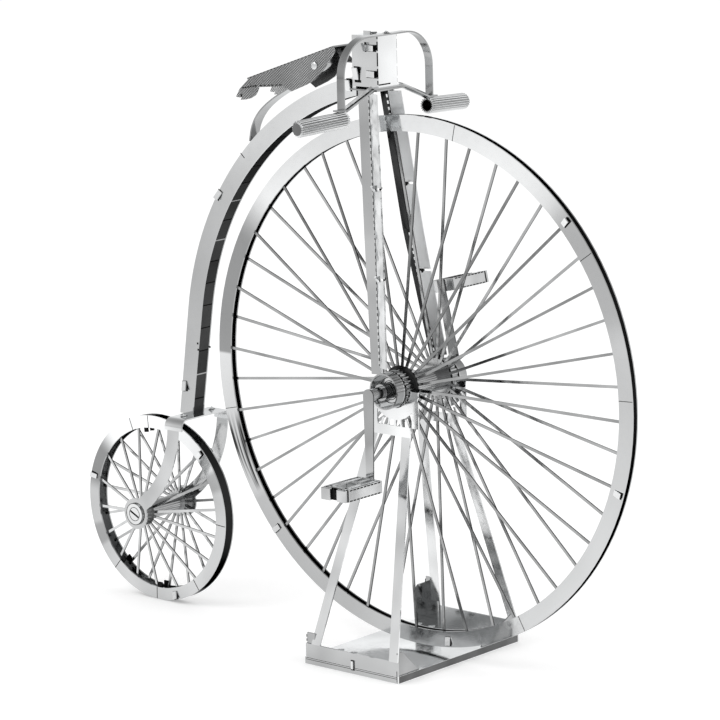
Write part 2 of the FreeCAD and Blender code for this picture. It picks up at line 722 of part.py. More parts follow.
grip_tube = cut("grip_tube", disc("grip_outside", S["grip_radius"], -S["grip_length"], Size.of(0)),
                disc("grip_inside", S["grip_radius"] - t, t - S["grip_length"], Size.of(1)))
place(grip_tube, 0, 0, 0, axis=(1, 0, 0), angle=S["grip_droop"])
grip = group("grip_swept", grip_tube)
place(grip, axle_x - S["bar_back"], -S["grip_inner"], axle_z + grip_up, axis=(0, 0, 1),
      angle=-S["grip_sweep"])
node("handlebar_grip_right", grip)
node("handlebar_grip_left", mirror("grip_twin", grip))

# --------------------------------------------------------------------------------------------------
# Backbone: two side plates that follow the wheel, with a strip along each edge between them.
# --------------------------------------------------------------------------------------------------
spine_in = S["front_radius"] + S["spine_gap"]
spine_out = spine_in + S["spine_width"]
spine_start = S["head_back"] + S["seat"]


def spine_tail(radius):
    """Where a curve of this radius leaves the wheel, and where its tangent ends at the bottom."""
    leave = S["spine_leave"]
    back = root(radius * radius - leave * leave)
    return back, back + (leave + spine_down) * leave / back


def spine_band(name, inner, outer, width):
    """A band that follows the wheel from the head, then runs on straight to its lower end."""
    inner_back, inner_foot = spine_tail(inner)
    outer_back, outer_foot = spine_tail(outer)
    return plate(name, [
        (-spine_start, root(outer * outer - spine_start * spine_start), None),
        (-spine_start, root(inner * inner - spine_start * spine_start), -inner),
        (-inner_back, S["spine_leave"], None),
        (-inner_foot, -spine_down, None),
        (-outer_foot, -spine_down, None),
        (-outer_back, S["spine_leave"], outer),
    ], width)


sides = []
for hand, y in (("right", t - S["spine_half"]), ("left", S["spine_half"])):
    side_plate = spine_band("backbone_plate_" + hand, spine_in, spine_out, t)
    place(side_plate, 0, y, 0)
    sides.append(side_plate)
node("backbone_side_plates", at_front(group("backbone_plate_set", *sides)))
strip_width = (S["spine_half"] - t) * 2
for label, inner, outer in (("backbone_outer_strip", spine_out - t, spine_out),
                            ("backbone_inner_strip", spine_in, spine_in + t)):
    strip = spine_band(label + "_band", inner, outer, strip_width)
    place(strip, axle_x, S["spine_half"] - t, axle_z)
    node(label, strip)

# --------------------------------------------------------------------------------------------------
# Rear fork: a crown under the backbone's end and two curved blades down to the small axle.
# --------------------------------------------------------------------------------------------------
arch = S["rear_blade_y"] + t
arch_top = -spine_down
arch_low = arch_top - S["rear_crown_drop"]
crown_rear = spine_tail(spine_out)[1] - S["rear_crown_inset"]
curve = S["rear_crown_round"]
rear_crown = plate("rear_crown_arch", [
    (-arch, arch_low, None),
    (-arch, arch_top - curve, curve),
    (curve - arch, arch_top, None),
    (arch - curve, arch_top, curve),
    (arch, arch_top - curve, None),
    (arch, arch_low, None),
    (arch - t, arch_low, None),
    (arch - t, arch_top - curve, t - curve),
    (arch - curve, arch_top - t, None),
    (curve - arch, arch_top - t, t - curve),
    (t - arch, arch_top - curve, None),
    (t - arch, arch_low, None),
], S["rear_crown_width"], role="YZ_Plane")
place(rear_crown, axle_x - crown_rear, 0, axle_z)
node("rear_fork_crown", rear_crown)

bend_x = S["rear_blade_inset"] - crown_rear - S["rear_blade_bend"]
bend_z = arch_top - S["rear_blade_start"]
bend_out = S["rear_blade_bend"] + S["rear_blade_width"] / 2
bend_in = S["rear_blade_bend"] - S["rear_blade_width"] / 2
drop = bend_z - arch_low
turn = S["rear_blade_turn"]
rear_blade = plate("rear_blade_plate", [
    (bend_x + root(bend_in * bend_in - drop * drop), arch_low, None),
    (bend_x + root(bend_out * bend_out - drop * drop), arch_low, bend_out),
    (bend_x + bend_out * cosine(turn), bend_z - bend_out * sine(turn), None),
    (bend_x + bend_in * cosine(turn), bend_z - bend_in * sine(turn), -bend_in),
], t)
place(rear_blade, 0, -S["rear_blade_y"], 0)
rear_eye = disc("rear_eye", S["rear_eye_radius"], -(S["rear_blade_y"] + t), -S["rear_blade_y"],
                x=-rear_back, z=rear_z - axle_z)
rear_hole = disc("rear_eye_hole", S["rear_axle_radius"] + S["fit"], -(S["rear_blade_y"] + 2),
                 1 - S["rear_blade_y"], x=-rear_back, z=rear_z - axle_z)
rear_fork = cut("rear_fork_cut", fuse("rear_fork_joined", rear_blade, rear_eye), rear_hole)
rear_fork = at_front(rear_fork)
node("rear_fork_blade_right", rear_fork)
node("rear_fork_blade_left", mirror("rear_fork_twin", rear_fork))

# --------------------------------------------------------------------------------------------------
# Saddle, drawn with its nose at the origin and its tail behind, then tilted up to the head.
# --------------------------------------------------------------------------------------------------
nose_back = S["saddle_nose_back"]
nose_half = S["saddle_nose_half"]
tail_half = S["saddle_tail_half"]
length = S["saddle_length"]


def at_saddle(target):
    wrapped = group(target.Name + "_tilted", target)
    place(wrapped, axle_x - nose_back, 0, axle_z + saddle_nose_up, axis=(0, 1, 0),
          angle=-S["saddle_rise"])
    return wrapped


saddle_top = plate("saddle_top_plate", [
    (0, -nose_half, None),
    (0, nose_half, None),
    (-length, tail_half, None),
    (-length, -tail_half, None),
], t, role="XY_Plane", reverse=True)
node("saddle_top", at_saddle(saddle_top))

# Outlines in the saddle's own frame: behind the nose, below the top plate.
tail = -S["saddle_length"]
PANEL = [(0.0, 0.0), (0.0, 0.9), (tail * 0.16, 3.3), (tail * 0.285, 4.7), (tail * 0.4, 5.1),
         (tail * 0.575, 5.3), (tail * 0.63, 3.9), (tail + 1.4, 2.1), (tail + 0.2, 1.2),
         (tail + 0.2, 0.0)]
CHEEK = [(tail + 1.4, 2.15), (tail + 2.0, 2.31), (tail + 1.45, 2.95), (tail + 0.7, 3.55),
         (tail - 0.6, 3.8), (tail - 1.8, 3.7), (tail - 3.2, 3.4), (tail - 2.4, 2.8),
         (tail - 3.2, 2.9), (tail - 4.1, 2.5), (tail - 2.6, 1.2), (tail + 0.15, 0.0),
         (tail + 0.15, 1.25)]
taper = arctan((tail_half - nose_half) / length)


def cheeks(name, outline):
    """A plate hung under each edge of the saddle's top plate."""
    right = plate(name + "_right", [(x, -t - down, None) for x, down in outline], t)
    place(right, 0, t - nose_half, 0, axis=(0, 0, 1), angle=taper)
    return [right, mirror(name + "_left", right)]


node("saddle_sides", at_saddle(group("saddle_panel_pair", *cheeks("saddle_panel", PANEL))))
tail_plate = block("saddle_tail_plate", (-length, t + 0.15 - tail_half, Size.of(-2.2)),
                   (t - length, tail_half - t - 0.15, -t))
node("saddle_rear_flap", at_saddle(group("saddle_flap_set", tail_plate,
                                         *cheeks("saddle_cheek", CHEEK))))

# Leaf spring from the backbone up to the saddle's top plate: behind the axle, above the axle.
spring_low = root(spine_out * spine_out - 42.3 * 42.3) + 0.3
spring_high = saddle_nose_up - 5.1
spring_rise = spring_high - spring_low
spring = plate("leaf_spring_strip", [
    (-42.3, spring_low, None), (-39.9, spring_low + spring_rise * 0.37, None),
    (-36.1, spring_low + spring_rise * 0.56, None), (-32.1, spring_low + spring_rise * 0.7, None),
    (-21.8, spring_high, None), (-21.8, spring_high + 3.4, None),
    (-22.1, spring_high + 3.3, None), (-22.1, spring_high + 0.2, None),
    (-32.2, spring_low + spring_rise * 0.7 + 0.3, None),
    (-36.2, spring_low + spring_rise * 0.56 + 0.3, None),
    (-40.15, spring_low + spring_rise * 0.37 + 0.2, None), (-42.6, spring_low + 0.05, None),
], S["spring_width"])
place(spring, axle_x, S["spring_width"] / 2, axle_z)
node("saddle_leaf_spring", spring)

# Bracket from the saddle's nose to the head's rear face.
head_face = -S["head_back"] - S["seat"]
bracket = plate("nose_bracket_strip", [
    (-19.4, saddle_nose_up - 0.75, None), (-16.4, saddle_nose_up - 3.2, None),
    (head_face, saddle_nose_up - 3.2, None), (head_face, saddle_nose_up - 2.9, None),
    (-16.3, saddle_nose_up - 2.9, None), (-19.1, saddle_nose_up - 0.65, None),
], S["spring_width"])
place(bracket, axle_x, S["spring_width"] / 2, axle_z)
node("saddle_nose_bracket", bracket)

# --------------------------------------------------------------------------------------------------
# Check and write.
# --------------------------------------------------------------------------------------------------
doc.recompute()
for item in doc.Objects:
    flags = [flag for flag in item.State if flag in ("Invalid", "Error")]
    if flags:
        raise RuntimeError("%s is %s" % (item.Name, flags))
os.makedirs("parts", exist_ok=True)
for item in NODES:
    if item.Shape.isNull() or not item.Shape.isValid() or not item.Shape.Solids:
        raise RuntimeError("%s has no sound solid" % item.Label)
    item.Shape.exportStep("parts/%s.step" % item.Label)
print("nodes", len(NODES), "solids", sum(len(item.Shape.Solids) for item in NODES))
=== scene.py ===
"""Visual model of a small desk model of a penny farthing, folded from polished steel sheet."""

import logging
import math
from dataclasses import dataclass
from enum import Enum
from typing import Iterable, Optional, Sequence

import bmesh
import bpy
from mathutils import Matrix, Vector


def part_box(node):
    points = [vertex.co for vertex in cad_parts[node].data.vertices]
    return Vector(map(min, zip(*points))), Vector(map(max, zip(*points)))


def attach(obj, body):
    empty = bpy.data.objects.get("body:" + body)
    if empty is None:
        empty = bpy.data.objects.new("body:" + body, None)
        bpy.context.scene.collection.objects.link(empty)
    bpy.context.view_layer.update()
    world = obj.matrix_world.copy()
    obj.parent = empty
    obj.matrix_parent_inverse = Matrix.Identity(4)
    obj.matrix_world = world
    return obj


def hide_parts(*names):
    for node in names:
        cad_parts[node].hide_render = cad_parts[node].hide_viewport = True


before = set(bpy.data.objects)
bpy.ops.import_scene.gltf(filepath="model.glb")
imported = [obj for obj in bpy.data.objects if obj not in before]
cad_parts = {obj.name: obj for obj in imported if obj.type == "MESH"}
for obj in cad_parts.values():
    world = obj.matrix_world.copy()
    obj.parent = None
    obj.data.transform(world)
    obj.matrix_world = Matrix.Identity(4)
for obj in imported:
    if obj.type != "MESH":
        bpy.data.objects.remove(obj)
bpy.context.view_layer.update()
LOG = logging.getLogger("penny_farthing_model")
MM = 0.001
FORWARD = Vector((1, 0, 0))
LEFTWARD = Vector((0, 1, 0))
UPWARD = Vector((0, 0, 1))
Outline = Sequence[tuple[float, float]]


class Side(Enum):
    """The rider's side that a piece is on, as the sign of Y."""

    RIGHT = -1
    LEFT = 1

    @property
    def out(self) -> Vector:
        """Direction out of the model on this side."""
        return LEFTWARD * self.value


def centre_of(node: str) -> Vector:
    """Middle of a CAD node's box, in metres."""
    low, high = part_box(node)
    return (low + high) / 2


def direction(angle: float) -> Vector:
    """Direction in the wheels' plane at an angle in degrees, from forward towards up."""
    turn = math.radians(angle)
    return Vector((math.cos(turn), 0, math.sin(turn)))


LARGE_AXLE = centre_of("front_wheel_rings")
SMALL_AXLE = centre_of("rear_wheel_rings")


# ------------------------------------------------------------------------------------------------
# Shader node groups shared by the finishes.
# ------------------------------------------------------------------------------------------------


class Wiring:
    """Small helper that adds nodes to one node tree and joins them."""

    def __init__(self, tree: bpy.types.NodeTree) -> None:
        """Keep the tree."""
        self.tree = tree

    def feed(self, socket: bpy.types.NodeSocket, value: object) -> None:
        """Give an input its value, or join it to the socket that feeds it.

        Args:
            socket: The input.
            value: A value or a socket.
        """
        if isinstance(value, bpy.types.NodeSocket):
            self.tree.links.new(value, socket)
        else:
            socket.default_value = value

    def add(self, kind: str, inputs: Optional[dict] = None, **settings: object) -> bpy.types.Node:
        """Add a node.

        Args:
            kind: Node type name.
            inputs: Socket name or index to a value or to the socket that feeds it.
            **settings: Attributes set on the node first.

        Returns:
            The new node.
        """
        node = self.tree.nodes.new(kind)
        for key, value in settings.items():
            setattr(node, key, value)
        for key, value in (inputs or {}).items():
            self.feed(node.inputs[key], value)
        return node

    def calc(self, operation: str, *terms: object) -> bpy.types.NodeSocket:
        """Add a Math node and return its result."""
        return self.add("ShaderNodeMath", dict(enumerate(terms)), operation=operation).outputs[0]

    def vector(self, operation: str, *terms: object) -> bpy.types.NodeSocket:
        """Add a Vector Math node and return its result, which is a number for two of them."""
        node = self.add("ShaderNodeVectorMath", dict(enumerate(terms)), operation=operation)
        return node.outputs["Value" if operation in ("DOT_PRODUCT", "LENGTH") else "Vector"]

    def axes(self, vector: bpy.types.NodeSocket) -> list[bpy.types.NodeSocket]:
        """Split a vector into its three numbers."""
        return list(self.add("ShaderNodeSeparateXYZ", {0: vector}).outputs)

    def spread(self, value: object, start: object, end: object, low: float = 0.0,
               high: float = 1.0, kind: str = "LINEAR") -> bpy.types.NodeSocket:
        """Carry a value from one range to another, held at both ends.

        Args:
            value: The value.
            start: Where the first range starts.
            end: Where the first range ends.
            low: Result at the start.
            high: Result at the end.
            kind: Shape of the change between them.

        Returns:
            The result socket.
        """
        return self.add("ShaderNodeMapRange", {
            "Value": value, "From Min": start, "From Max": end, "To Min": low, "To Max": high},
            interpolation_type=kind).outputs[0]

    def blend(self, mask: object, low: object, high: object) -> bpy.types.NodeSocket:
        """Mix two colours by a mask, where 0 gives the first and 1 the second."""
        return self.add("ShaderNodeMix", {0: mask, 6: low, 7: high}, data_type="RGBA").outputs[2]

    def group(self, tree: bpy.types.NodeTree, **inputs: object) -> bpy.types.NodeOutputs:
        """Place a node group with its inputs and return its outputs."""
        return self.add("ShaderNodeGroup", inputs, node_tree=tree).outputs


def new_group(name: str, vectors: Sequence[str], numbers: Sequence[str],
              gives: Sequence[str]) -> tuple:
    """Start a shader node group.

    Args:
        name: Name of the group.
        vectors: Names of the vectors that it takes.
        numbers: Names of the numbers that it takes.
        gives: Names of the numbers that it gives.

    Returns:
        The tree, its wiring, the sockets that it takes and those that it gives.
    """
    tree = bpy.data.node_groups.new(name, "ShaderNodeTree")
    for labels, way, kind in ((vectors, "INPUT", "Vector"), (numbers, "INPUT", "Float"),
                              (gives, "OUTPUT", "Float")):
        for label in labels:
            tree.interface.new_socket(label, in_out=way, socket_type="NodeSocket" + kind)
    w = Wiring(tree)
    return tree, w, w.add("NodeGroupInput").outputs, w.add("NodeGroupOutput").inputs


def from_axle(w: Wiring, given: bpy.types.NodeOutputs) -> bpy.types.NodeSocket:
    """Vector from a group's Axle to its Place, laid into the wheels' plane."""
    arm = w.vector("SUBTRACT", given["Place"], given["Axle"])
    return w.vector("MULTIPLY", arm, (1, 0, 1))


def turn_of(w: Wiring, arm: bpy.types.NodeSocket) -> bpy.types.NodeSocket:
    """Angle of a vector in the wheels' plane, in radians."""
    x, _, z = w.axes(arm)
    return w.calc("ARCTAN2", z, x)


def sheet_ripple_group() -> bpy.types.NodeTree:
    """Slow waves that hand bending leaves in thin sheet, with fine handling marks.

    Returns:
        The node group.
    """
    tree, w, given, out = new_group("sheet_ripple", ("Place",), ("Wave", "Marks"),
                                    ("Height", "Tone", "Rough"))
    wave, marks = (
        w.add("ShaderNodeTexNoise", {"Vector": given["Place"], "Scale": given[label],
                                     "Detail": detail, "Roughness": rough}).outputs["Fac"]
        for label, detail, rough in (("Wave", 1.5, 0.5), ("Marks", 5.0, 0.6)))
    w.feed(out["Height"], wave)
    w.feed(out["Tone"], w.spread(wave, 0.3, 0.7, 0.68, 1.0))
    w.feed(out["Rough"], w.spread(marks, 0.35, 0.75))
    return tree


INWARD = -0.35  # share of a face's direction that has to look inward


def inner_faces_group() -> bpy.types.NodeTree:
    """Mask of the faces that look towards the middle plane or towards an axle, which take painted
    shade.

    Returns:
        The node group.
    """
    tree, w, given, out = new_group("inner_faces", ("Place", "Facing", "Axle"),
                                    ("Sideways", "Radial"), ("Mask",))
    side = w.calc("SIGN", w.axes(given["Place"])[1])
    from_middle = w.calc("MULTIPLY", side, w.axes(given["Facing"])[1])
    unit = w.vector("NORMALIZE", from_axle(w, given))
    from_hub = w.vector("DOT_PRODUCT", unit, given["Facing"])
    masks = [w.calc("MULTIPLY", w.calc("LESS_THAN", outward, INWARD), given[label])
             for outward, label in ((from_middle, "Sideways"), (from_hub, "Radial"))]
    w.feed(out["Mask"], w.calc("MAXIMUM", *masks))
    return tree


def cross_hatch_group() -> bpy.types.NodeTree:
    """Two sets of fine etched lines that cross at a slant.

    Returns:
        The node group.
    """
    tree, w, given, out = new_group("cross_hatch", ("Place",), ("Pitch", "Width"), ("Mask",))
    x, y, z = w.axes(given["Place"])
    lines = []
    for slant in (1.0, -1.0):
        run = w.calc("ADD", w.calc("MULTIPLY", x, slant), z)
        run = w.calc("ADD", run, w.calc("MULTIPLY", y, 1.1))
        share = w.calc("FRACT", w.calc("DIVIDE", run, given["Pitch"]))
        lines.append(w.calc("LESS_THAN", share, given["Width"]))
    w.feed(out["Mask"], w.calc("MAXIMUM", *lines))
    return tree


def fold_bands_group() -> bpy.types.NodeTree:
    """Bend lines across a strip that was curved round an axle by hand, each with its chance.

    Returns:
        The node group.
    """
    tree, w, given, out = new_group("fold_bands", ("Place", "Axle"), ("Count", "Width"),
                                    ("Mask", "Chance"))
    turn = w.calc("DIVIDE", turn_of(w, from_axle(w, given)), 2 * math.pi)
    panel = w.calc("MULTIPLY", turn, given["Count"])
    w.feed(out["Mask"], w.calc("LESS_THAN", w.calc("FRACT", panel), given["Width"]))
    chance = w.add("ShaderNodeTexWhiteNoise", {"W": w.calc("FLOOR", panel)},
                   noise_dimensions="1D")
    w.feed(out["Chance"], chance.outputs["Value"])
    return tree


def painted_lit_side_group() -> bpy.types.NodeTree:
    """Painted light and shade round a hoop: a slow change of tone, lightest on one given side and
    darker away from it.

    Returns:
        The node group.
    """
    tree, w, given, out = new_group("painted_lit_side", ("Place", "Axle", "Toward"), (), ("Mask",))
    unit = w.vector("NORMALIZE", from_axle(w, given))
    share = w.vector("DOT_PRODUCT", unit, given["Toward"])
    w.feed(out["Mask"], w.spread(share, 0.1, 0.92, kind="SMOOTHSTEP"))
    return tree


def cut_faces_group() -> bpy.types.NodeTree:
    """Mask of the cut edges of upright sheet, whose faces look along the wheels' plane, which take
    painted shade.

    Returns:
        The node group.
    """
    tree, w, given, out = new_group("cut_faces", ("Facing",), (), ("Mask",))
    sideways = w.calc("ABSOLUTE", w.axes(given["Facing"])[1])
    w.feed(out["Mask"], w.spread(sideways, 0.65, 0.45))
    return tree


def painted_reflection_group() -> bpy.types.NodeTree:
    """Painted reflection: a stretch of a ring toned as if it mirrored something else, with its own
    softness at each end.

    Returns:
        The node group.
    """
    tree, w, given, out = new_group("painted_reflection", ("Place", "Axle"),
                                    ("Centre", "Half", "Soft", "Crisp", "Streaks"), ("Mask",))
    arm = from_axle(w, given)
    turn = w.calc("MULTIPLY", turn_of(w, arm), 180 / math.pi)
    share = w.calc("MULTIPLY_ADD", w.calc("SUBTRACT", turn, given["Centre"]), 1 / 360, 0.5)
    offset = w.calc("MULTIPLY_ADD", w.calc("FRACT", share), 360.0, -180.0)
    start, end = w.calc("MULTIPLY", given["Half"], -1.0), given["Half"]
    rise = w.spread(offset, start, w.calc("ADD", start, given["Soft"]), kind="SMOOTHSTEP")
    fall = w.spread(offset, end, w.calc("SUBTRACT", end, given["Crisp"]), kind="SMOOTHSTEP")
    # Painted streaks of reflection run round the ring, so noise changes slowly with the angle and
    # fast across it.
    lanes = w.add("ShaderNodeCombineXYZ", {
        0: w.calc("MULTIPLY", offset, 0.05),
        1: w.calc("MULTIPLY", w.vector("LENGTH", arm), 1100.0)}).outputs[0]
    noise = w.add("ShaderNodeTexNoise", {"Vector": lanes, "Scale": 1.0, "Detail": 1.0})
    streak = w.spread(noise.outputs["Fac"], 0.42, 0.56, 1.0, 0.0)
    kept = w.calc("SUBTRACT", 1.0, w.calc("MULTIPLY", streak, given["Streaks"]))
    w.feed(out["Mask"], w.calc("MULTIPLY", w.calc("MULTIPLY", rise, fall), kept))
    return tree


class Effects:
    """The shared node groups, each built once."""

    def __init__(self) -> None:
        """Build every group."""
        self.ripple = sheet_ripple_group()
        self.inner = inner_faces_group()
        self.hatch = cross_hatch_group()
        self.bands = fold_bands_group()
        self.bend = painted_lit_side_group()
        self.patch = painted_reflection_group()
        self.cut = cut_faces_group()


class Pattern(Enum):
    """What is etched or bent into a finish besides its ripples."""

    PLAIN = "plain"
    HATCHED = "hatched"
    BANDED = "banded"


HANDLING = 900.0  # handling marks per metre
HATCH_PITCH = 0.55 * MM
HATCH_WIDTH = 0.4  # share of the pitch that is etched
BEND_LINES = 74.0  # bend lines in a full turn
LINE_WIDTH = 0.05  # share of a panel that its bend line takes
# Painted shade in the crease of a fold line, and a painted glint on the lit ones.
LINE_SHADE_AND_GLINT = (0.012, 0.5)
LIT_LINES = 0.55  # chance above which a bend line is the light one
# Painted reflections on the panels, lighter or darker by chance.
PANEL_REFLECTION_TONES = (0.8, 1.35)  # darkest and lightest panel, as shares of the tone
HATCH_TONE = 0.28  # share of the tone that is left where it is etched
HATCH_DEPTH = 0.25  # share of the ripples' height
COOL = (0.985, 0.995, 1.0)  # tint of the grey


@dataclass(frozen=True)
class PaintedReflection:
    """Painted reflection: a stretch of a ring toned as if it mirrored something darker or lighter.

    Attributes:
        centre: Its middle, in degrees round the axle.
        half: Half its reach, in degrees.
        tone: Grey level of the painted reflection.
        soft: Degrees over which its first end fades.
        crisp: Degrees over which its other end fades.
        streaks: How far it is broken into long painted streaks.
    """

    centre: float
    half: float
    tone: float
    soft: float = 8.0
    crisp: float = 8.0
    streaks: float = 0.0


@dataclass(frozen=True)
class Finish:
    """One finish of the steel sheet.

    Attributes:
        name: Material name.
        slot: Slot in the record; not used.
        tone: Grey level of the open faces; lighter and darker levels of the one steel stand for
            painted light and shade.
        inside: Painted shade: grey level of faces that look inward.
        rough: Base roughness.
        marks: Roughness that handling marks add.
        ripple: Height of the slow waves, in millimetres.
        wave: Waves per metre.
        sideways: How far faces towards the middle plane take the painted inner shade.
        radial: How far faces towards the axle take the painted inner shade.
        axle: Axle that the radial mask, the bands, the painted lit side and the painted reflections
            turn about.
        pattern: Etched or bent pattern.
        far_tone: Painted shade: grey level on the side away from the painted light, or 0 for one
            tone all over.
        toward: Angle in degrees, in the wheels' plane, of the side that takes the painted light.
        edge: Share of the shine that is kept at a glancing angle.
        patches: Painted reflections: stretches with a tone of their own.
        cut_tone: Painted shade: grey level of the sheet's cut edges, or 0 for the open faces' tone.
    """

    name: str
    slot: str
    tone: float
    inside: float = 0.1
    rough: float = 0.08
    marks: float = 0.12
    ripple: float = 0.05
    wave: float = 90.0
    sideways: float = 0.0
    radial: float = 0.0
    axle: tuple[float, float, float] = (0.0, 0.0, 0.0)
    pattern: Pattern = Pattern.PLAIN
    far_tone: float = 0.0
    toward: float = 90.0
    edge: float = 1.0
    patches: tuple[PaintedReflection, ...] = ()
    cut_tone: float = 0.0

    def colour(self, level: float) -> tuple[float, float, float, float]:
        """Slightly cool grey of a level."""
        return (*(level * tint for tint in COOL), 1.0)

    def mirrored(self, w: Wiring, effects: Effects, place: bpy.types.NodeSocket) -> object:
        """Tone of the open faces, with the painted lit side and the painted reflections.

        Args:
            w: Wiring of the material.
            effects: The shared node groups.
            place: Place on the surface.

        Returns:
            A colour, or the socket that gives it.
        """
        colour: object = self.colour(self.tone)
        # Painted light and shade: lighter towards the given side, darker away from it.
        if self.far_tone:
            bend = w.group(effects.bend, Place=place, Axle=self.axle,
                           Toward=direction(self.toward))
            colour = w.blend(bend["Mask"], self.colour(self.far_tone), colour)
        # Painted reflections, each on its own stretch of the ring.
        for patch in self.patches:
            stretch = w.group(effects.patch, Place=place, Axle=self.axle, Centre=patch.centre,
                              Half=patch.half, Soft=patch.soft, Crisp=patch.crisp,
                              Streaks=patch.streaks)
            colour = w.blend(stretch["Mask"], colour, self.colour(patch.tone))
        return colour

    def banded(self, w: Wiring, effects: Effects,
               place: bpy.types.NodeSocket) -> bpy.types.NodeSocket:
        """Tone of panels between fold lines, each panel and each line a little its own: painted
        reflections on the panels, painted shade or a painted glint on the lines.

        Args:
            w: Wiring of the material.
            effects: The shared node groups.
            place: Place on the surface.

        Returns:
            The colour socket.
        """
        bands = w.group(effects.bands, Place=place, Axle=self.axle, Count=BEND_LINES,
                        Width=LINE_WIDTH)
        lit = w.calc("GREATER_THAN", bands["Chance"], LIT_LINES)
        line = w.blend(lit, *map(self.colour, LINE_SHADE_AND_GLINT))
        panel = w.blend(bands["Chance"], *(self.colour(self.tone * part) for part in PANEL_REFLECTION_TONES))
        return w.blend(bands["Mask"], panel, line)

    def build(self, effects: Effects) -> bpy.types.Material:
        """Build the material.

        Args:
            effects: The shared node groups.

        Returns:
            The new material.
        """
        material = bpy.data.materials.new(self.name)
        material.use_nodes = True
        w = Wiring(material.node_tree)
        shader = material.node_tree.nodes["Principled BSDF"].inputs
        place = w.add("ShaderNodeTexCoord").outputs["Object"]
        facing = w.add("ShaderNodeNewGeometry").outputs["Normal"]
        ripple = w.group(effects.ripple, Place=place, Wave=self.wave, Marks=HANDLING)
        height = ripple["Height"]
        if self.pattern is Pattern.BANDED:
            colour = self.banded(w, effects, place)
        else:
            colour = self.mirrored(w, effects, place)
        if self.pattern is Pattern.HATCHED:
            hatch = w.group(effects.hatch, Place=place, Pitch=HATCH_PITCH,
                            Width=HATCH_WIDTH)["Mask"]
            colour = w.blend(hatch, colour, self.colour(self.tone * HATCH_TONE))
            height = w.calc("SUBTRACT", height, w.calc("MULTIPLY", hatch, HATCH_DEPTH))
        # Painted shade on the faces that look inward.
        if self.sideways or self.radial:
            inner = w.group(effects.inner, Place=place, Facing=facing, Axle=self.axle,
                            Sideways=self.sideways, Radial=self.radial)
            colour = w.blend(inner["Mask"], colour, self.colour(self.inside))
        # Painted shade on the cut edges.
        if self.cut_tone:
            cut = w.group(effects.cut, Facing=facing)
            colour = w.blend(cut["Mask"], colour, self.colour(self.cut_tone))
        plain = not isinstance(colour, bpy.types.NodeSocket)
        shade = w.add("ShaderNodeVectorMath", {0: colour[:3] if plain else colour,
                                               "Scale": ripple["Tone"]}, operation="SCALE")
        w.feed(shader["Base Color"], shade.outputs[0])
        w.feed(shader["Roughness"], w.calc("MULTIPLY_ADD", ripple["Rough"], self.marks, self.rough))
        w.feed(shader["Metallic"], 1.0)
        w.feed(shader["Specular Tint"], self.colour(self.edge))
        bump = w.add("ShaderNodeBump", {"Height": height, "Strength": 1.0,
                                        "Distance": self.ripple * MM})
        w.feed(shader["Normal"], bump.outputs[0])
        return material


class Workshop:
    """Builds each finish once and dresses nodes and pieces with it."""

    def __init__(self) -> None:
        """Build the shared effects."""
        self.effects = Effects()
        self.made: dict[Finish, bpy.types.Material] = {}

    def material(self, finish: Finish) -> bpy.types.Material:
        """The finish's material, built the first time it is asked for.

        Args:
            finish: The finish.

        Returns:
            Its material.
        """
        if finish not in self.made:
            self.made[finish] = finish.build(self.effects)
        return self.made[finish]

    def dress(self, finish: Finish, *nodes: str) -> None:
        """Give CAD nodes a finish.

        Args:
            finish: The finish.
            *nodes: Names of the CAD nodes.
        """
        for name in nodes:
            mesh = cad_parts[name].data
            mesh.materials.clear()
            mesh.materials.append(self.material(finish))
            LOG.info("dressed %s with %s", name, finish.name)


LARGE = tuple(LARGE_AXLE)
SMALL = tuple(SMALL_AXLE)
# Most finishes below are lighter and darker copies of one polished steel: painted light and shade,
# set part by part to how light falls on it.
LIT_SHEET = Finish("lit_sheet", "mirror_steel", 0.80)
HEAD_SHEET = Finish("head_sheet", "mirror_steel", 0.95, ripple=0.02)
BRIGHT = Finish("bright_fold", "mirror_steel", 0.92, rough=0.2)
# Painted light and shade round the ring, painted shade on its inner faces and painted reflections
# stretch by stretch.
LARGE_RING = Finish(
    "large_ring_sheet", "mirror_steel", 1.0, inside=0.42, sideways=1.0, radial=1.0, axle=LARGE,
    wave=26.0, far_tone=0.68, toward=108.0, patches=(
        PaintedReflection(158.5, 21.5, 0.31, soft=15.0, crisp=0.8),
        PaintedReflection(203.0, 10.5, 0.045, soft=6.0, crisp=3.0, streaks=1.0),
        PaintedReflection(237.0, 25.0, 0.56, soft=3.0, crisp=14.0),
        PaintedReflection(32.0, 18.0, 0.54)))
# Painted light and shade round the ring, painted shade on its inner faces and painted reflections
# stretch by stretch.
SMALL_RING = Finish(
    "small_ring_sheet", "mirror_steel", 1.0, inside=0.52, sideways=1.0, radial=1.0, axle=SMALL,
    wave=60.0, far_tone=0.66, toward=90.0, patches=(
        PaintedReflection(154.0, 23.0, 0.33, soft=16.0, crisp=12.0),
        PaintedReflection(205.0, 9.0, 0.46, soft=4.0, crisp=4.0),
        PaintedReflection(25.0, 9.0, 0.5, soft=5.0, crisp=5.0)))
# The treads' inner faces take the rings' painted inner shade.
LARGE_TREAD = Finish("large_tread_sheet", "dark_steel", 0.018, inside=0.42, radial=1.0,
                     axle=LARGE, edge=0.25)
SMALL_TREAD = Finish("small_tread_sheet", "dark_steel", 0.03, inside=0.52, radial=1.0,
                     axle=SMALL, edge=0.25)
# Painted shade on the spokes' sides towards the middle plane and on their cut edges.
SPOKE = Finish("spoke_sheet", "mirror_steel", 0.4, inside=0.44, sideways=1.0, wave=160.0,
               cut_tone=0.09)
SMALL_SPOKE = Finish("small_spoke_sheet", "mirror_steel", 0.66, inside=0.66, sideways=1.0,
                     wave=160.0, cut_tone=0.12)
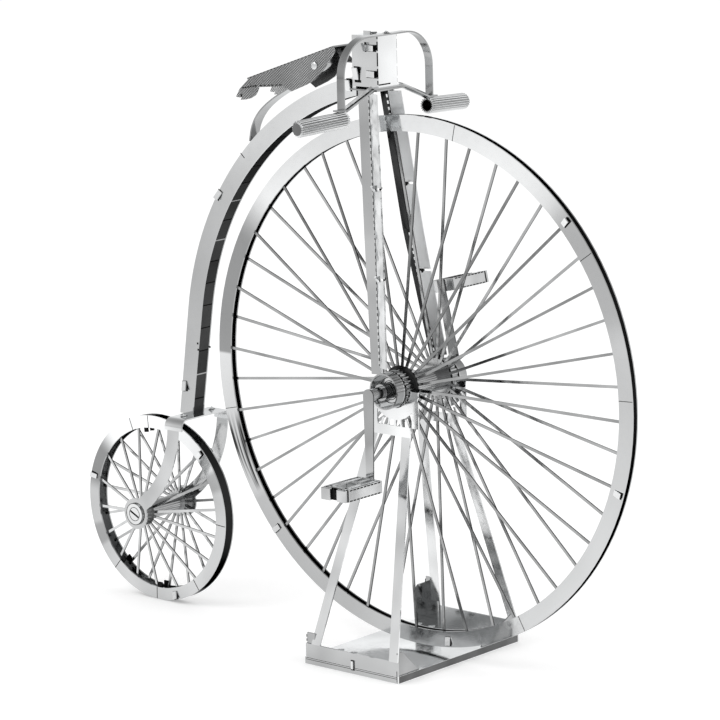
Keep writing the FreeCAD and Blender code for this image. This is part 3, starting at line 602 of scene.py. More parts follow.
# Painted light and shade along the crank, lightest towards its lower end, with painted shade on its
# cut edges.
CRANK = Finish("crank_sheet", "mirror_steel", 0.62, cut_tone=0.12, far_tone=0.4, toward=-90.0,
               axle=tuple(LARGE_AXLE + Vector((3.0, 0, -9.0)) * MM))
SHADED = Finish("shaded_sheet", "mirror_steel", 0.45, wave=120.0)
DIM = Finish("dim_sheet", "mirror_steel", 0.18, wave=160.0, edge=0.5)
PEDAL = Finish("pedal_sheet", "mirror_steel", 0.66, wave=200.0)
# Near-black painted shade in hollows and on the hub's star discs.
DEEP_SHADE = Finish("painted_deep_shade", "dark_steel", 0.05, rough=0.25, edge=0.2)
# Near-black painted shade in slots, holes and gaps, and painted shadow round tabs.
SLOT_SHADE = Finish("painted_slot_shade", "dark_steel", 0.025, rough=0.45, edge=0.1)
BLADE = Finish("fork_blade_sheet", "mirror_steel", 0.66, wave=70.0)
# Painted shade on the far blade's inner faces.
FAR_BLADE = Finish("fork_left_blade_sheet", "mirror_steel", 0.66, inside=0.05, sideways=1.0,
                   wave=70.0, edge=0.6)
FLANGE = Finish("fork_flange_sheet", "mirror_steel", 0.8, ripple=0.3, wave=300.0)
FAR_FLANGE = Finish("fork_left_flange_sheet", "mirror_steel", 1.0, rough=0.3, ripple=0.02)
WALL = Finish("stand_wall_sheet", "mirror_steel", 0.58, ripple=0.02)
HOOP = Finish("handlebar_sheet", "mirror_steel", 0.43, ripple=0.14, wave=130.0)
# Painted light and shade along the backbone, lightest towards the head.
SPINE = Finish("backbone_sheet", "mirror_steel", 0.96, wave=30.0, axle=LARGE, far_tone=0.54,
               toward=80.0)
# Painted shade on the backbone's inner strip, with painted glints and painted reflections along its
# folds.
SPINE_FOLDS = Finish("backbone_inner_sheet", "dark_steel", 0.07, rough=0.38, axle=LARGE, edge=0.2,
                     pattern=Pattern.BANDED)
# Shaded copy for the rear fork's blades: painted shade.
REAR_BLADE_SHADE = Finish("rear_blade_sheet", "mirror_steel", 0.6, wave=110.0)
HATCHED = Finish("saddle_hatch", "etched_steel", 0.68, rough=0.3, pattern=Pattern.HATCHED)
# Painted shade on the inner faces of the saddle's sides.
HATCHED_PANEL = Finish("saddle_panel_hatch", "etched_steel", 0.68, inside=0.1, rough=0.3,
                       sideways=1.0, pattern=Pattern.HATCHED)
SADDLE_EDGE = Finish("saddle_sheet", "etched_steel", 0.4, rough=0.2)
FLUTED = Finish("fluted_sheet", "grip_steel", 0.85, rough=0.12)


# ------------------------------------------------------------------------------------------------
# Mesh building.
# ------------------------------------------------------------------------------------------------


def eased(points: Sequence[Vector], rounds: int) -> list[Vector]:
    """Round the corners of a path by cutting them again and again.

    Args:
        points: Points of the path.
        rounds: How often the corners are cut.

    Returns:
        The smoother path, with the same ends.
    """
    path = list(points)
    for _ in range(rounds):
        cut = [path[0]]
        for first, second in zip(path, path[1:]):
            cut += [first.lerp(second, 0.25), first.lerp(second, 0.75)]
        path = cut + [path[-1]]
    return path


class Shape:
    """Faces gathered in millimetres about an anchor, turned into one mesh object."""

    def __init__(self, anchor: Vector = LARGE_AXLE) -> None:
        """Start empty.

        Args:
            anchor: Point in metres that the millimetres are measured from.
        """
        self.anchor = anchor
        self.mesh = bmesh.new()

    def loft(self, rows: Sequence[Sequence[Vector]], ends: bool) -> None:
        """Join rows of points, in millimetres, into one closed skin.

        Args:
            rows: The rows, all alike apart from rows of one point, which are tips.
            ends: Whether the first and the last row get a face, or else meet unless they are tips.
        """
        made = [[self.mesh.verts.new(self.anchor + point * MM) for point in row] for row in rows]
        pairs = list(zip(made, made[1:]))
        if ends:
            self.mesh.faces.new(made[0])
            self.mesh.faces.new(list(reversed(made[-1])))
        elif len(made[0]) > 1:
            pairs.append((made[-1], made[0]))
        steps = max(map(len, made))
        for low, high in pairs:
            for i in range(steps):
                j = (i + 1) % steps
                corners = dict.fromkeys([low[i % len(low)], low[j % len(low)],
                                         high[j % len(high)], high[i % len(high)]])
                if len(corners) > 2:
                    self.mesh.faces.new(list(corners))

    def prism(self, base: Vector, along: Vector, up: Vector, outline: Outline,
              depth: float) -> None:
        """Add a closed prism.

        Args:
            base: Origin of the outline.
            along: First direction of the outline.
            up: Second direction of the outline.
            outline: Corners in millimetres.
            depth: Thickness, half each way from the outline's plane.
        """
        along = along.normalized()
        across = along.cross(up).normalized()
        up = across.cross(along)
        self.loft([[Vector(base) + along * u + up * v + across * lift for u, v in outline]
                   for lift in (-depth / 2, depth / 2)], ends=True)

    def block(self, centre: Vector, along: Vector, up: Vector, size: Sequence[float]) -> None:
        """Add a box.

        Args:
            centre: Middle of the box.
            along: Direction of its first size.
            up: Direction of its second size.
            size: Sizes along, up and across.
        """
        half_u, half_v = size[0] / 2, size[1] / 2
        self.prism(centre, along, up, [(-half_u, -half_v), (half_u, -half_v), (half_u, half_v),
                                       (-half_u, half_v)], size[2])

    def lathe(self, start: Vector, axis: Vector, profile: Outline, steps: int = 48,
              flutes: int = 0, depth: float = 0.0) -> None:
        """Add a turned surface that closes on itself.

        Args:
            start: Point that heights are measured from.
            axis: Direction of the heights.
            profile: Height and radius pairs, a closed loop unless its ends lie on the axis.
            steps: Points round the axis.
            flutes: Number of flutes, or 0 for a plain surface.
            depth: Depth of the flutes.
        """
        axis = axis.normalized()
        across = axis.orthogonal().normalized()
        other = axis.cross(across)
        rows = []
        for height, radius in profile:
            base, row = Vector(start) + axis * height, []
            for turn in (2 * math.pi * step / steps for step in range(steps if radius else 1)):
                reach = radius - depth * 0.5 * (1 - math.cos(flutes * turn)) if radius else 0
                row.append(base + across * (reach * math.cos(turn))
                           + other * (reach * math.sin(turn)))
            rows.append(row)
        self.loft(rows, ends=False)

    def ribbon(self, points: Sequence[Vector], width_dir: Vector, widths: Sequence[float],
               thick: float) -> None:
        """Add a bent strip of sheet.

        Args:
            points: Points along its middle.
            width_dir: Direction of its width.
            widths: Width at each point.
            thick: Sheet thickness.
        """
        width_dir = width_dir.normalized()
        rows = []
        for index, point in enumerate(points):
            before = points[max(index - 1, 0)]
            after = points[min(index + 1, len(points) - 1)]
            normal = (after - before).cross(width_dir).normalized() * (thick / 2)
            half = width_dir * (widths[index] / 2)
            rows.append([point + offset for offset in
                         (half + normal, -half + normal, -half - normal, half - normal)])
        self.loft(rows, ends=True)

    def build(self, name: str, body: str, finish: Finish, workshop: Workshop,
              replaces: Iterable[str] = (), bevel: float = 0.0,
              smooth: bool = False) -> bpy.types.Object:
        """Turn the gathered faces into an object that rides on a body.

        Args:
            name: Name of the piece.
            body: CAD body it rides on.
            finish: Its finish.
            workshop: Where the finish's material comes from.
            replaces: CAD nodes that it stands for.
            bevel: Width of rounded edges in millimetres.
            smooth: Whether faces are shaded smooth up to 40 degrees.

        Returns:
            The new object.
        """
        bmesh.ops.recalc_face_normals(self.mesh, faces=self.mesh.faces)
        data = bpy.data.meshes.new(name)
        self.mesh.to_mesh(data)
        self.mesh.free()
        data.materials.append(workshop.material(finish))
        piece = bpy.data.objects.new(name, data)
        bpy.context.scene.collection.objects.link(piece)
        if smooth:
            data.shade_smooth()
            data.set_sharp_from_angle(angle=math.radians(40))
        if bevel:
            rounded = piece.modifiers.new("rounded_edges", "BEVEL")
            rounded.width = bevel * MM
            rounded.segments = 2
            rounded.limit_method = "ANGLE"
        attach(piece, body)
        if replaces:
            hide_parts(*replaces)
        LOG.info("built %s on %s", name, body)
        return piece


@dataclass
class Trim:
    """The small bright and dark bits of one sub-assembly, gathered on one body: lighter tabs, and
    painted shade in slots and round tabs.
    """

    name: str
    body: str = "frame"
    anchor: Vector = LARGE_AXLE

    def __post_init__(self) -> None:
        """Start the bright and the dark shape."""
        self.bright = Shape(self.anchor)
        self.dark = Shape(self.anchor)

    def slit(self, at: Vector, out: Vector, along: Vector, size: tuple[float, float],
             proud: float = 0.015, thick: float = 0.03) -> None:
        """Lay a dark slit on a face, painted shade in a slot, hole or gap.

        Args:
            at: Point on the face.
            out: Direction out of the face.
            along: Direction of the slit's length.
            size: Length and width.
            proud: How far its middle stands off the face.
            thick: Its thickness.
        """
        self.dark.block(Vector(at) + out * proud, along, along.cross(out), (*size, thick))

    def ring(self, at: Vector, out: Vector, radius: float, width: float) -> None:
        """Lay a thin dark ring on a face, painted shade in a groove, its outer radius and its width
        given.
        """
        self.dark.lathe(at, out, [(0.0, radius - width), (0.0, radius), (0.03, radius),
                                  (0.03, radius - width)])

    def clip(self, at: Vector, out: Vector, along: Vector, span: float = 1.5,
             reach: float = 0.75, turn: float = 40.0) -> None:
        """Add a tab that comes through a slot and is twisted to lock it, with painted shade in the
        slot.

        Args:
            at: Point on the sheet's outer face.
            out: Direction out of the face.
            along: Direction of the slot.
            span: Length of the slot.
            reach: How far the tab stands out.
            turn: Degrees by which its end is twisted.
        """
        at, out, along = Vector(at), Vector(out).normalized(), Vector(along).normalized()
        self.slit(at, out, along, (span, 0.5), proud=0.012)
        self.bright.block(at + out * reach * 0.3, along, out, (span * 0.6, reach * 0.6, 0.28))
        twisted = Matrix.Rotation(math.radians(turn), 3, out) @ along
        self.bright.block(at + out * reach * 0.72, twisted, out, (span * 0.85, reach * 0.56, 0.28))

    def lug(self, at: Vector, out: Vector, along: Vector, size: tuple[float, float] = (1.7, 0.9),
            tilt: float = 14.0) -> None:
        """Add a tab folded back against the face that it came through, with a painted shadow round
        it and to one side.

        Args:
            at: Point on the sheet's outer face.
            out: Direction out of the face.
            along: Direction of the tab's length.
            size: Length and width of the tab.
            tilt: Degrees by which the tab stands off the face.
        """
        at, out, along = Vector(at), Vector(out).normalized(), Vector(along).normalized()
        across = along.cross(out)
        self.slit(at + (along + across) * 0.07, out, along, (size[0] + 0.24, size[1] + 0.24),
                  proud=0.012)
        leaned = Matrix.Rotation(math.radians(tilt), 3, across) @ along
        self.bright.block(at + out * (0.16 + size[0] / 2 * math.sin(math.radians(tilt))), leaned,
                          across, (size[0], size[1], 0.25))

    def stitch(self, start: Vector, end: Vector, out: Vector, count: int, fill: float = 0.6,
               width: float = 0.22, dark: bool = True) -> None:
        """Add a row of slits along a perforated fold, in painted shade or as painted highlights.

        Args:
            start: First end of the row.
            end: Other end of the row.
            out: Direction out of the face.
            count: Number of slits.
            fill: Share of each step that is slit.
            width: Width of a slit.
            dark: Whether the slits are dark or bright.
        """
        start, end, out = Vector(start), Vector(end), Vector(out).normalized()
        run = end - start
        into = self.dark if dark else self.bright
        for index in range(count):
            middle = start + run * ((index + 0.5) / count) + out * 0.015
            into.block(middle, run, run.cross(out), (run.length / count * fill, width, 0.05))

    def bump(self, at: Vector, out: Vector, size: float = 0.7) -> None:
        """Add the end of a folded-over tab as a dark block of painted shade.

        Args:
            at: Point on the face.
            out: Direction out of the face.
            size: Its length.
        """
        at, out = Vector(at), Vector(out).normalized()
        along = out.orthogonal()
        self.dark.block(at + out * 0.1, along, out, (size, 0.3, size * 0.5))

    def finish(self, workshop: Workshop, bright: Finish = BRIGHT) -> None:
        """Build both shapes that have faces.

        Args:
            workshop: Where materials come from.
            bright: Finish of the bright bits.
        """
        for kind, shape, finish in (("tabs", self.bright, bright), ("slits", self.dark, SLOT_SHADE)):
            if shape.mesh.faces:
                shape.build(f"{self.name}_{kind}", self.body, finish, workshop)


# ------------------------------------------------------------------------------------------------
# Sub-assemblies.
# ------------------------------------------------------------------------------------------------


@dataclass
class Wheel:
    """What both wheels have: a rim with folded tabs and the seams of its strips."""

    radius: float
    ring: float
    rim_half: float
    clips: tuple[float, ...]  # angles of the folded tabs
    seams: tuple[float, ...]  # angles of the seams
    lug: tuple[float, float]  # length and width of a folded tab
    seam: float

    def mark_rim(self, trim: Trim) -> None:
        """Add the folded tabs and the seams to both rings.

        Args:
            trim: Where the tabs and seams go.
        """
        for side in Side:
            face = side.out * self.rim_half
            for spoke in map(direction, self.clips):
                trim.lug(face + spoke * (self.radius - self.ring * 0.4), side.out, spoke, self.lug)
            for spoke in map(direction, self.seams):
                trim.slit(face + spoke * (self.radius - self.ring / 2), side.out, spoke,
                          (self.ring, self.seam), proud=0.012)


@dataclass
class LargeWheel(Wheel):
    """The large wheel: rings, tread, spoke stars, hub and fluted drums."""

    radius: float = 53.0
    ring: float = 3.2
    rim_half: float = 0.85
    clips: tuple[float, ...] = (43.2, -17.3, -82.0, -137.5)
    seams: tuple[float, ...] = (-167.5, 3.0, 34.6, 78.0, -60.0)
    lug: tuple[float, float] = (1.7, 1.1)
    seam: float = 0.12
    flange_y: float = 5.2
    flange_radius: float = 4.2
    flange: float = 0.3
    drum_radius: float = 3.7
    drum_end: float = 7.9
    dish: float = 0.3
    bore: float = 1.25
    flutes: int = 26

    def build(self, workshop: Workshop) -> None:
        """Dress the nodes and add drums, star discs, tabs and seams.

        Args:
            workshop: Where materials come from.
        """
        workshop.dress(LARGE_RING, "front_wheel_rings")
        workshop.dress(LARGE_TREAD, "front_wheel_tread")
        workshop.dress(SPOKE, "front_spokes_right", "front_spokes_left")
        workshop.dress(SHADED, "front_hub", "front_axle", "front_axle_sleeves")
        drums, discs = Shape(), Shape()
        length = self.drum_end - self.flange_y
        for side in Side:
            start = side.out * self.flange_y
            drums.lathe(start, side.out, [
                (0, self.bore), (0, self.drum_radius), (length, self.drum_radius),
                (length, self.drum_radius - 0.5), (length - self.dish, self.drum_radius - 0.6),
                (length - self.dish, self.bore)],
                steps=self.flutes * 6, flutes=self.flutes, depth=0.3)
            discs.lathe(start, side.out, [
                (0.01, self.bore), (0.01, self.flange_radius + 0.15),
                (0.12, self.flange_radius + 0.15), (self.flange, self.flange_radius - 0.35),
                (self.flange, self.bore)], steps=64)
        # The drums take the shaded copy and the star discs near-black: painted shade.
        drums.build("hub_drums", "front_wheel", SHADED, workshop, replaces=["front_hub_drums"])
        discs.build("hub_star_discs", "front_wheel", DEEP_SHADE, workshop, smooth=True)
        trim = Trim("large_rim", "front_wheel")
        self.mark_rim(trim)
        trim.finish(workshop)


@dataclass
class SmallWheel(Wheel):
    """The small wheel: rings, tread, spoke stars, hub and the axle's slotted caps."""

    radius: float = 19.9
    ring: float = 2.6
    rim_half: float = 1.35
    clips: tuple[float, ...] = (165.6, 45.0, -75.0)
    seams: tuple[float, ...] = (111.0, -3.5, -54.0, 95.0, -131.0, -92.0)
    lug: tuple[float, float] = (1.6, 1.0)
    seam: float = 0.14
    ends: tuple[float, ...] = (99.0, -90.0, -130.0)  # angles of the strips' ends
    cap_face: float = 7.95
    cap_rings: tuple[float, ...] = (2.35, 1.5)

    def build(self, workshop: Workshop) -> None:
        """Dress the nodes and add tabs, seams, strip ends and the marks of the caps.

        Args:
            workshop: Where materials come from.
        """
        workshop.dress(SMALL_RING, "rear_wheel_rings")
        workshop.dress(SMALL_TREAD, "rear_wheel_tread")
        workshop.dress(SMALL_SPOKE, "rear_spokes_right", "rear_spokes_left")
        # The hub takes the shaded copy, the axle caps the lit copy and the drums the dim copy:
        # painted light and shade.
        workshop.dress(SHADED, "rear_hub")
        workshop.dress(LIT_SHEET, "rear_axle")
        workshop.dress(DIM, "rear_hub_drums")
        trim = Trim("small_rim", "rear_wheel", SMALL_AXLE)
        self.mark_rim(trim)
        for side in Side:
            for spoke in map(direction, self.ends):
                trim.dark.block(side.out * (self.rim_half - 0.5)
                                + spoke * (self.radius - self.ring - 0.3), spoke,
                                spoke.cross(LEFTWARD), (1.4, 1.0, 0.35))
            for radius in self.cap_rings:
                trim.ring(side.out * (self.cap_face - 0.01), side.out, radius, 0.12)
            trim.slit(side.out * self.cap_face, side.out, Vector((1, 0, -0.5)), (2.6, 0.4),
                      proud=0.01)
        trim.finish(workshop)


@dataclass
class Cranks:
    """The two cranks with their box pedals."""

    slide: float = 1.6  # how far the axle is pushed to the right
    crank_y: float = 13.3
    length: float = 17.6
    lag: float = 12.0  # degrees by which the left crank falls short of opposite
    pedal: tuple[float, float, float] = (6.4, 10.8, 2.5)  # depth, length and height
    sheet: float = 0.3
    end: float = 0.95  # length of the end blocks with the gap before them
    ribs: tuple[float, ...] = (0.15, 3.4, 7.4)  # cross plates, the first at full height
    # Place and reach of each strip on top.
    rails: tuple[tuple[float, float], ...] = ((-1.9, 9.85), (1.9, 9.85), (0.0, 3.4))

    def build_pedal(self, side: Side, frames: Shape, trim: Trim) -> None:
        """Add one pedal, worked out as it hangs and then turned to where it is.

        Args:
            side: Which side.
            frames: Where the folded sheets go.
            trim: Where slits and tabs go.
        """
        depth, long, height = self.pedal
        inner = self.crank_y + 0.3 + (self.slide if side is Side.RIGHT else -self.slide)
        turned = Matrix.Rotation(math.radians(180 - self.lag), 3, "Y")
        pose = Matrix.Identity(3) if side is Side.RIGHT else turned

        def at(x: float, y: float, z: float) -> Vector:
            """A point of the hanging pedal, carried to where this one is."""
            return pose @ Vector((x, side.value * (inner + y), z - self.length))

        front, high = depth / 2, height / 2
        ahead, above, out = pose @ FORWARD, pose @ UPWARD, pose @ side.out
        plate, top = long - self.end, high - self.sheet / 2
        for sign in (-1, 1):
            frames.block(at(sign * (front - self.sheet / 2), plate / 2, 0), out, above,
                         (plate, height, self.sheet))
            frames.block(at(sign * 2.0, long - 0.31, 0), ahead, above, (2.35, height - 0.1, 0.6))
            # Painted shade in the gap between the side plate and the end blocks.
            trim.dark.block(at(sign * (front - 0.2), plate + 0.17, 0), above, out,
                            (height - 0.2, 0.34, 0.3))
            for z in (0.22 - high, high - 0.22):
                trim.stitch(at(sign * front, 0.5, z), at(sign * front, plate - 0.2, z),
                            ahead * sign, 9, fill=0.7)
        for y in self.ribs:
            tall = height if y == self.ribs[0] else height * 0.6
            frames.block(at(0, y, 0), ahead, above, (depth - 0.6, tall, self.sheet))
        for x, reach in self.rails:
            frames.block(at(x, reach / 2, top), out, ahead, (reach, 0.9, self.sheet))
        frames.block(at(0.3, long - 1.7, top), ahead, out, (5.2, 0.8, self.sheet))
        # Painted shade across the gap before the end blocks.
        trim.dark.block(at(0, long - 0.75, -0.1), ahead, above, (5.6, height - 0.5, 0.3))
        trim.bright.block(at(0, -0.1, top), ahead, above, (1.6, 0.3, 0.3))

    def build(self, workshop: Workshop) -> None:
        """Dress the cranks and build both pedals.

        Args:
            workshop: Where materials come from.
        """
        workshop.dress(CRANK, "crank_right", "crank_left")
        trim = Trim("pedal", "front_wheel")
        frames = Shape()
        for side in Side:
            self.build_pedal(side, frames, trim)
        frames.build("pedal_frames", "front_wheel", PEDAL, workshop,
                     replaces=["pedal_right", "pedal_left"], bevel=0.12)
        trim.finish(workshop)


@dataclass
class Fork:
    """The front fork: V-folded blades with their flanges, crown, eyes and cups."""

    # Points of a blade's fold line from the crown down, and the size of its section at each.
    fold: tuple[tuple[float, float, float], ...] = (
        (-9.0, 2.4, 57.5), (-5.95, 4.95, 29.3), (-2.45, 8.32, 2.8))
    scales: tuple[float, ...] = (1.05, 1.05, 0.85)
    sheet: float = 0.3
    flange: float = 2.595
    eye_y: float = 8.6
    eye_rings: tuple[float, ...] = (2.6, 1.95)
    # Top, bottom and count of each row of slits, and top and bottom of each length of flange.
    slits: tuple[tuple[float, float, int], ...] = ((56.5, 29.6, 22), (29.0, 4.5, 20))
    bright_slits: tuple[tuple[float, float, int], ...] = ((56.5, 50.2, 5), (29.0, 4.5, 20))
    clip_heights: tuple[float, ...] = (38.6, 21.2)
    strips: tuple[tuple[float, float], ...] = ((56.9, 38.9), (38.4, 21.5), (21.0, 4.1))

    def along(self, height: float) -> tuple[float, float, float]:
        """Where a blade's fold line is at a height.

        Args:
            height: Height above the axle.

        Returns:
            Its place forward and outward, and the blade's scale there.
        """
        rows = [(*point, scale) for point, scale in zip(self.fold, self.scales)]
        for (x1, y1, z1, s1), (x2, y2, z2, s2) in zip(rows, rows[1:]):
            if z2 <= height <= z1:
                share = (height - z1) / (z2 - z1)
                return x1 + (x2 - x1) * share, y1 + (y2 - y1) * share, s1 + (s2 - s1) * share
        return rows[-1][0], rows[-1][1], rows[-1][3]

    def on_fold(self, height: float, side: Side) -> Vector:
        """Point on the outer face of a blade's fold line at a height."""
        x, y, _ = self.along(height)
        return Vector((x, side.value * (y + self.sheet), height))

    def build_flange(self, side: Side, finish: Finish, workshop: Workshop) -> None:
        """Build a blade's front flange, cut into lengths that follow the fold.

        Args:
            side: Which side.
            finish: Its finish.
            workshop: Where the finish's material comes from.
        """
        flange = Shape()
        across = Vector((1.35, side.value * 0.5, 0))
        for top, bottom in self.strips:
            bends = [z for _, _, z in self.fold if bottom < z < top]
            path, widths = [], []
            for height in (top, *bends, bottom):
                x, y, scale = self.along(height)
                path.append(Vector((x + 1.467 * scale, side.value * (y + 0.543 * scale + 0.15),
                                    height)))
                widths.append(self.flange * scale)
            flange.ribbon(path, across, widths, self.sheet + 0.06)
        flange.build(f"fork_flange_{side.name.lower()}", "frame", finish, workshop)

    def perforate(self, side: Side, trim: Trim) -> None:
        """Add the slits along a blade's fold, in painted shade with painted highlights on the
        bridges, and painted highlights inside.

        Args:
            side: Which side.
            trim: Where the slits go.
        """
        proud, inward = side.out * 0.04, side.out * -0.33
        for high, low, count in self.slits:
            start, end = (self.on_fold(z, side) - FORWARD * 0.1 for z in (high, low))
            trim.stitch(start, end, side.out, 1, fill=1.0, width=0.66)
            trim.stitch(start + proud, end + proud, side.out, count, fill=0.5, width=0.28,
                        dark=False)
        for high, low, count in self.bright_slits:
            trim.stitch(self.on_fold(high, side) + inward, self.on_fold(low, side) + inward,
                        -side.out, count, fill=0.5, width=0.4, dark=False)

    def build(self, workshop: Workshop) -> None:
        """Dress the nodes and add the flanges, perforated folds and tabs.

        Args:
            workshop: Where materials come from.
        """
        # The near and far blades and flanges take lighter and darker copies of the sheet: painted
        # light and shade.
        workshop.dress(BLADE, "fork_blade_right")
        workshop.dress(FAR_BLADE, "fork_blade_left")
        workshop.dress(SHADED, "fork_crown", "fork_eye_cups")
        self.build_flange(Side.RIGHT, FLANGE, workshop)
        self.build_flange(Side.LEFT, FAR_FLANGE, workshop)
        trim = Trim("fork")
        for side in Side:
            self.perforate(side, trim)
            for height in self.clip_heights:
                at = self.on_fold(height, side) + FORWARD * 0.5
                trim.clip(at, side.out, UPWARD, span=1.6, reach=0.8)
                trim.bump(at + FORWARD - side.out * 0.5, FORWARD)
            for radius in self.eye_rings:
                trim.ring(side.out * self.eye_y, side.out, radius, 0.14)
        trim.finish(workshop)


@dataclass
class Head:
    """The head box with its tabs, slots and perforated corners."""

    front: float = 6.3
    half: float = 2.8
    # Place forward and up of each folded tab, where it points, and its size.
    lugs: tuple[tuple, ...] = (
        (-8.4, 65.8, FORWARD, (2.9, 1.1)), (-8.1, 60.7, FORWARD, (2.4, 1.2)),
        (-11.9, 60.6, UPWARD, (2.4, 1.3)))
    side_clip: tuple[float, float] = (-9.5, 65.9)
    side_slit: tuple[float, float] = (-11.6, 59.1)
    # Place, length, reach and twist of each tab on top.
    top_clips: tuple[tuple, ...] = (((-9.4, -0.4, 68.1), 1.6, 0.55, 40.0),
                                    ((-6.9, 0.6, 68.4), 1.9, 0.42, -35.0))
    corner_slits: tuple[tuple[float, float], ...] = (
        (68.3, 67.6), (67.1, 65.3), (64.9, 62.3), (61.8, 59.9), (59.5, 58.7))

    def build(self, workshop: Workshop) -> None:
        """Dress the head box and add its tabs and slits.

        Args:
            workshop: Where materials come from.
        """
        workshop.dress(HEAD_SHEET, "head_box")
        trim = Trim("head")
        for side in Side:
            face = side.value * self.half
            for high, low in self.corner_slits:
                trim.slit((-self.front - 0.15, face, (high + low) / 2), side.out, UPWARD,
                          (high - low, 0.3), proud=0.02, thick=0.05)
            for x, z, along, size in self.lugs:
                trim.lug((x, face, z), side.out, along, size)
            x, z = self.side_clip
            trim.clip((x, face, z), side.out, UPWARD, span=1.9, reach=1.2, turn=20)
            x, z = self.side_slit
            trim.slit((x, face, z), side.out, FORWARD, (1.6, 0.5), proud=0.02, thick=0.05)
        # The tabs on top take the shaded copy: painted shade.
        top = Trim("head_top")
        for place, span, reach, turn in self.top_clips:
            top.clip(place, UPWARD, FORWARD, span, reach, turn)
        top.finish(workshop, SHADED)
        trim.slit((-self.front, -1.0, 58.65), FORWARD, LEFTWARD, (3.4, 0.25), proud=0.02,
                  thick=0.05)
        trim.finish(workshop)


@dataclass
class Handlebar:
    """The hoop, its brace with twisted wings, and the two fluted grips."""

    back: float = 6.9
    up: float = 53.0
    inner: float = 12.3
    length: float = 12.8
    radius: float = 1.65
    wall: float = 0.3
    sweep: float = 4.0
    droop: float = 2.5
    flutes: int = 20
    flute_depth: float = 0.24
    # Points out and up along a wing of the brace, and the lean of each of its stretches.
    wings: tuple[tuple[float, float], ...] = ((4.1, 57.95), (5.2, 57.6), (12.2, 54.85))
    wing_twists: tuple[float, ...] = (55.0, 62.0)
    wing_width: float = 1.35

    def build_wings(self, workshop: Workshop) -> None:
        """Build the brace's twisted wings.

        Args:
            workshop: Where materials come from.
        """
        wings = Shape()
        for side in Side:
            points = [Vector((-6.75, side.value * y, z)) for y, z in self.wings]
            for twist, start, end in zip(self.wing_twists, points, points[1:]):
                lean = math.radians(twist)
                wings.ribbon([start, end], Vector((math.cos(lean), 0, -math.sin(lean))),
                             [self.wing_width] * 2, 0.2)
        wings.build("brace_wings", "frame", LIT_SHEET, workshop)

    def build_grips(self, workshop: Workshop) -> None:
        """Build the fluted tubes, with painted shade in the dips of the flutes, on the end caps and
        in the open ends.

        Args:
            workshop: Where materials come from.
        """
        tubes, hollows, groove_shade, caps = Shape(), Shape(), Shape(), Shape()
        droop, sweep = math.radians(self.droop), math.radians(self.sweep)
        bore, cap = self.radius - self.wall, self.radius - 0.44
        for side in Side:
            axis = Vector((-math.sin(sweep) * math.cos(droop),
                           side.value * math.cos(sweep) * math.cos(droop), -math.sin(droop)))
            start = Vector((-self.back, side.value * self.inner, self.up))
            tubes.lathe(start, axis, [
                (self.length - 0.04, 0.0), (self.length - 0.04, self.radius - 0.42),
                (self.length, self.radius - 0.4),
                (self.length - 0.35, self.radius), (0.0, self.radius), (0.0, bore),
                (self.length - 0.4, bore), (self.length - 0.4, 0.0)],
                steps=self.flutes * 6, flutes=self.flutes, depth=self.flute_depth)
            # A darker disc on each end: painted shade.
            caps.lathe(start, axis, [(self.length - 0.03, 0.0), (self.length - 0.03, cap),
                                     (self.length, cap), (self.length, 0.0)])
            # Near-black in the open end: painted shade.
            hollows.lathe(start, axis, [
                (1.6, 0.0), (1.6, bore - 0.25), (0.05, bore - 0.25), (0.05, bore - 0.32),
                (1.5, bore - 0.32), (1.5, 0.0)], steps=32)
            across = axis.orthogonal().normalized()
            other = axis.cross(across)
            # A darker strip in each dip of the flutes: painted shade.
            for step in range(self.flutes):
                turn = 2 * math.pi * (step + 0.5) / self.flutes
                spoke = across * math.cos(turn) + other * math.sin(turn)
                middle = start + axis * (self.length / 2)
                groove_shade.block(middle + spoke * (self.radius - self.flute_depth * 0.8), axis,
                              axis.cross(spoke), (self.length - 0.9, 0.15, 0.16))
        tubes.build("fluted_grips", "frame", FLUTED, workshop,
                    replaces=["handlebar_grip_right", "handlebar_grip_left"])
        hollows.build("grip_hollows", "frame", DEEP_SHADE, workshop)
        caps.build("grip_caps", "frame", DIM, workshop)
        groove_shade.build("grip_groove_shade", "frame", SHADED, workshop)

    def build(self, workshop: Workshop) -> None:
        """Dress the strips and build the wings and the grips.

        Args:
            workshop: Where materials come from.
        """
        workshop.dress(HOOP, "handlebar_arm_right", "handlebar_arm_left", "handlebar_brace")
        self.build_wings(workshop)
        self.build_grips(workshop)


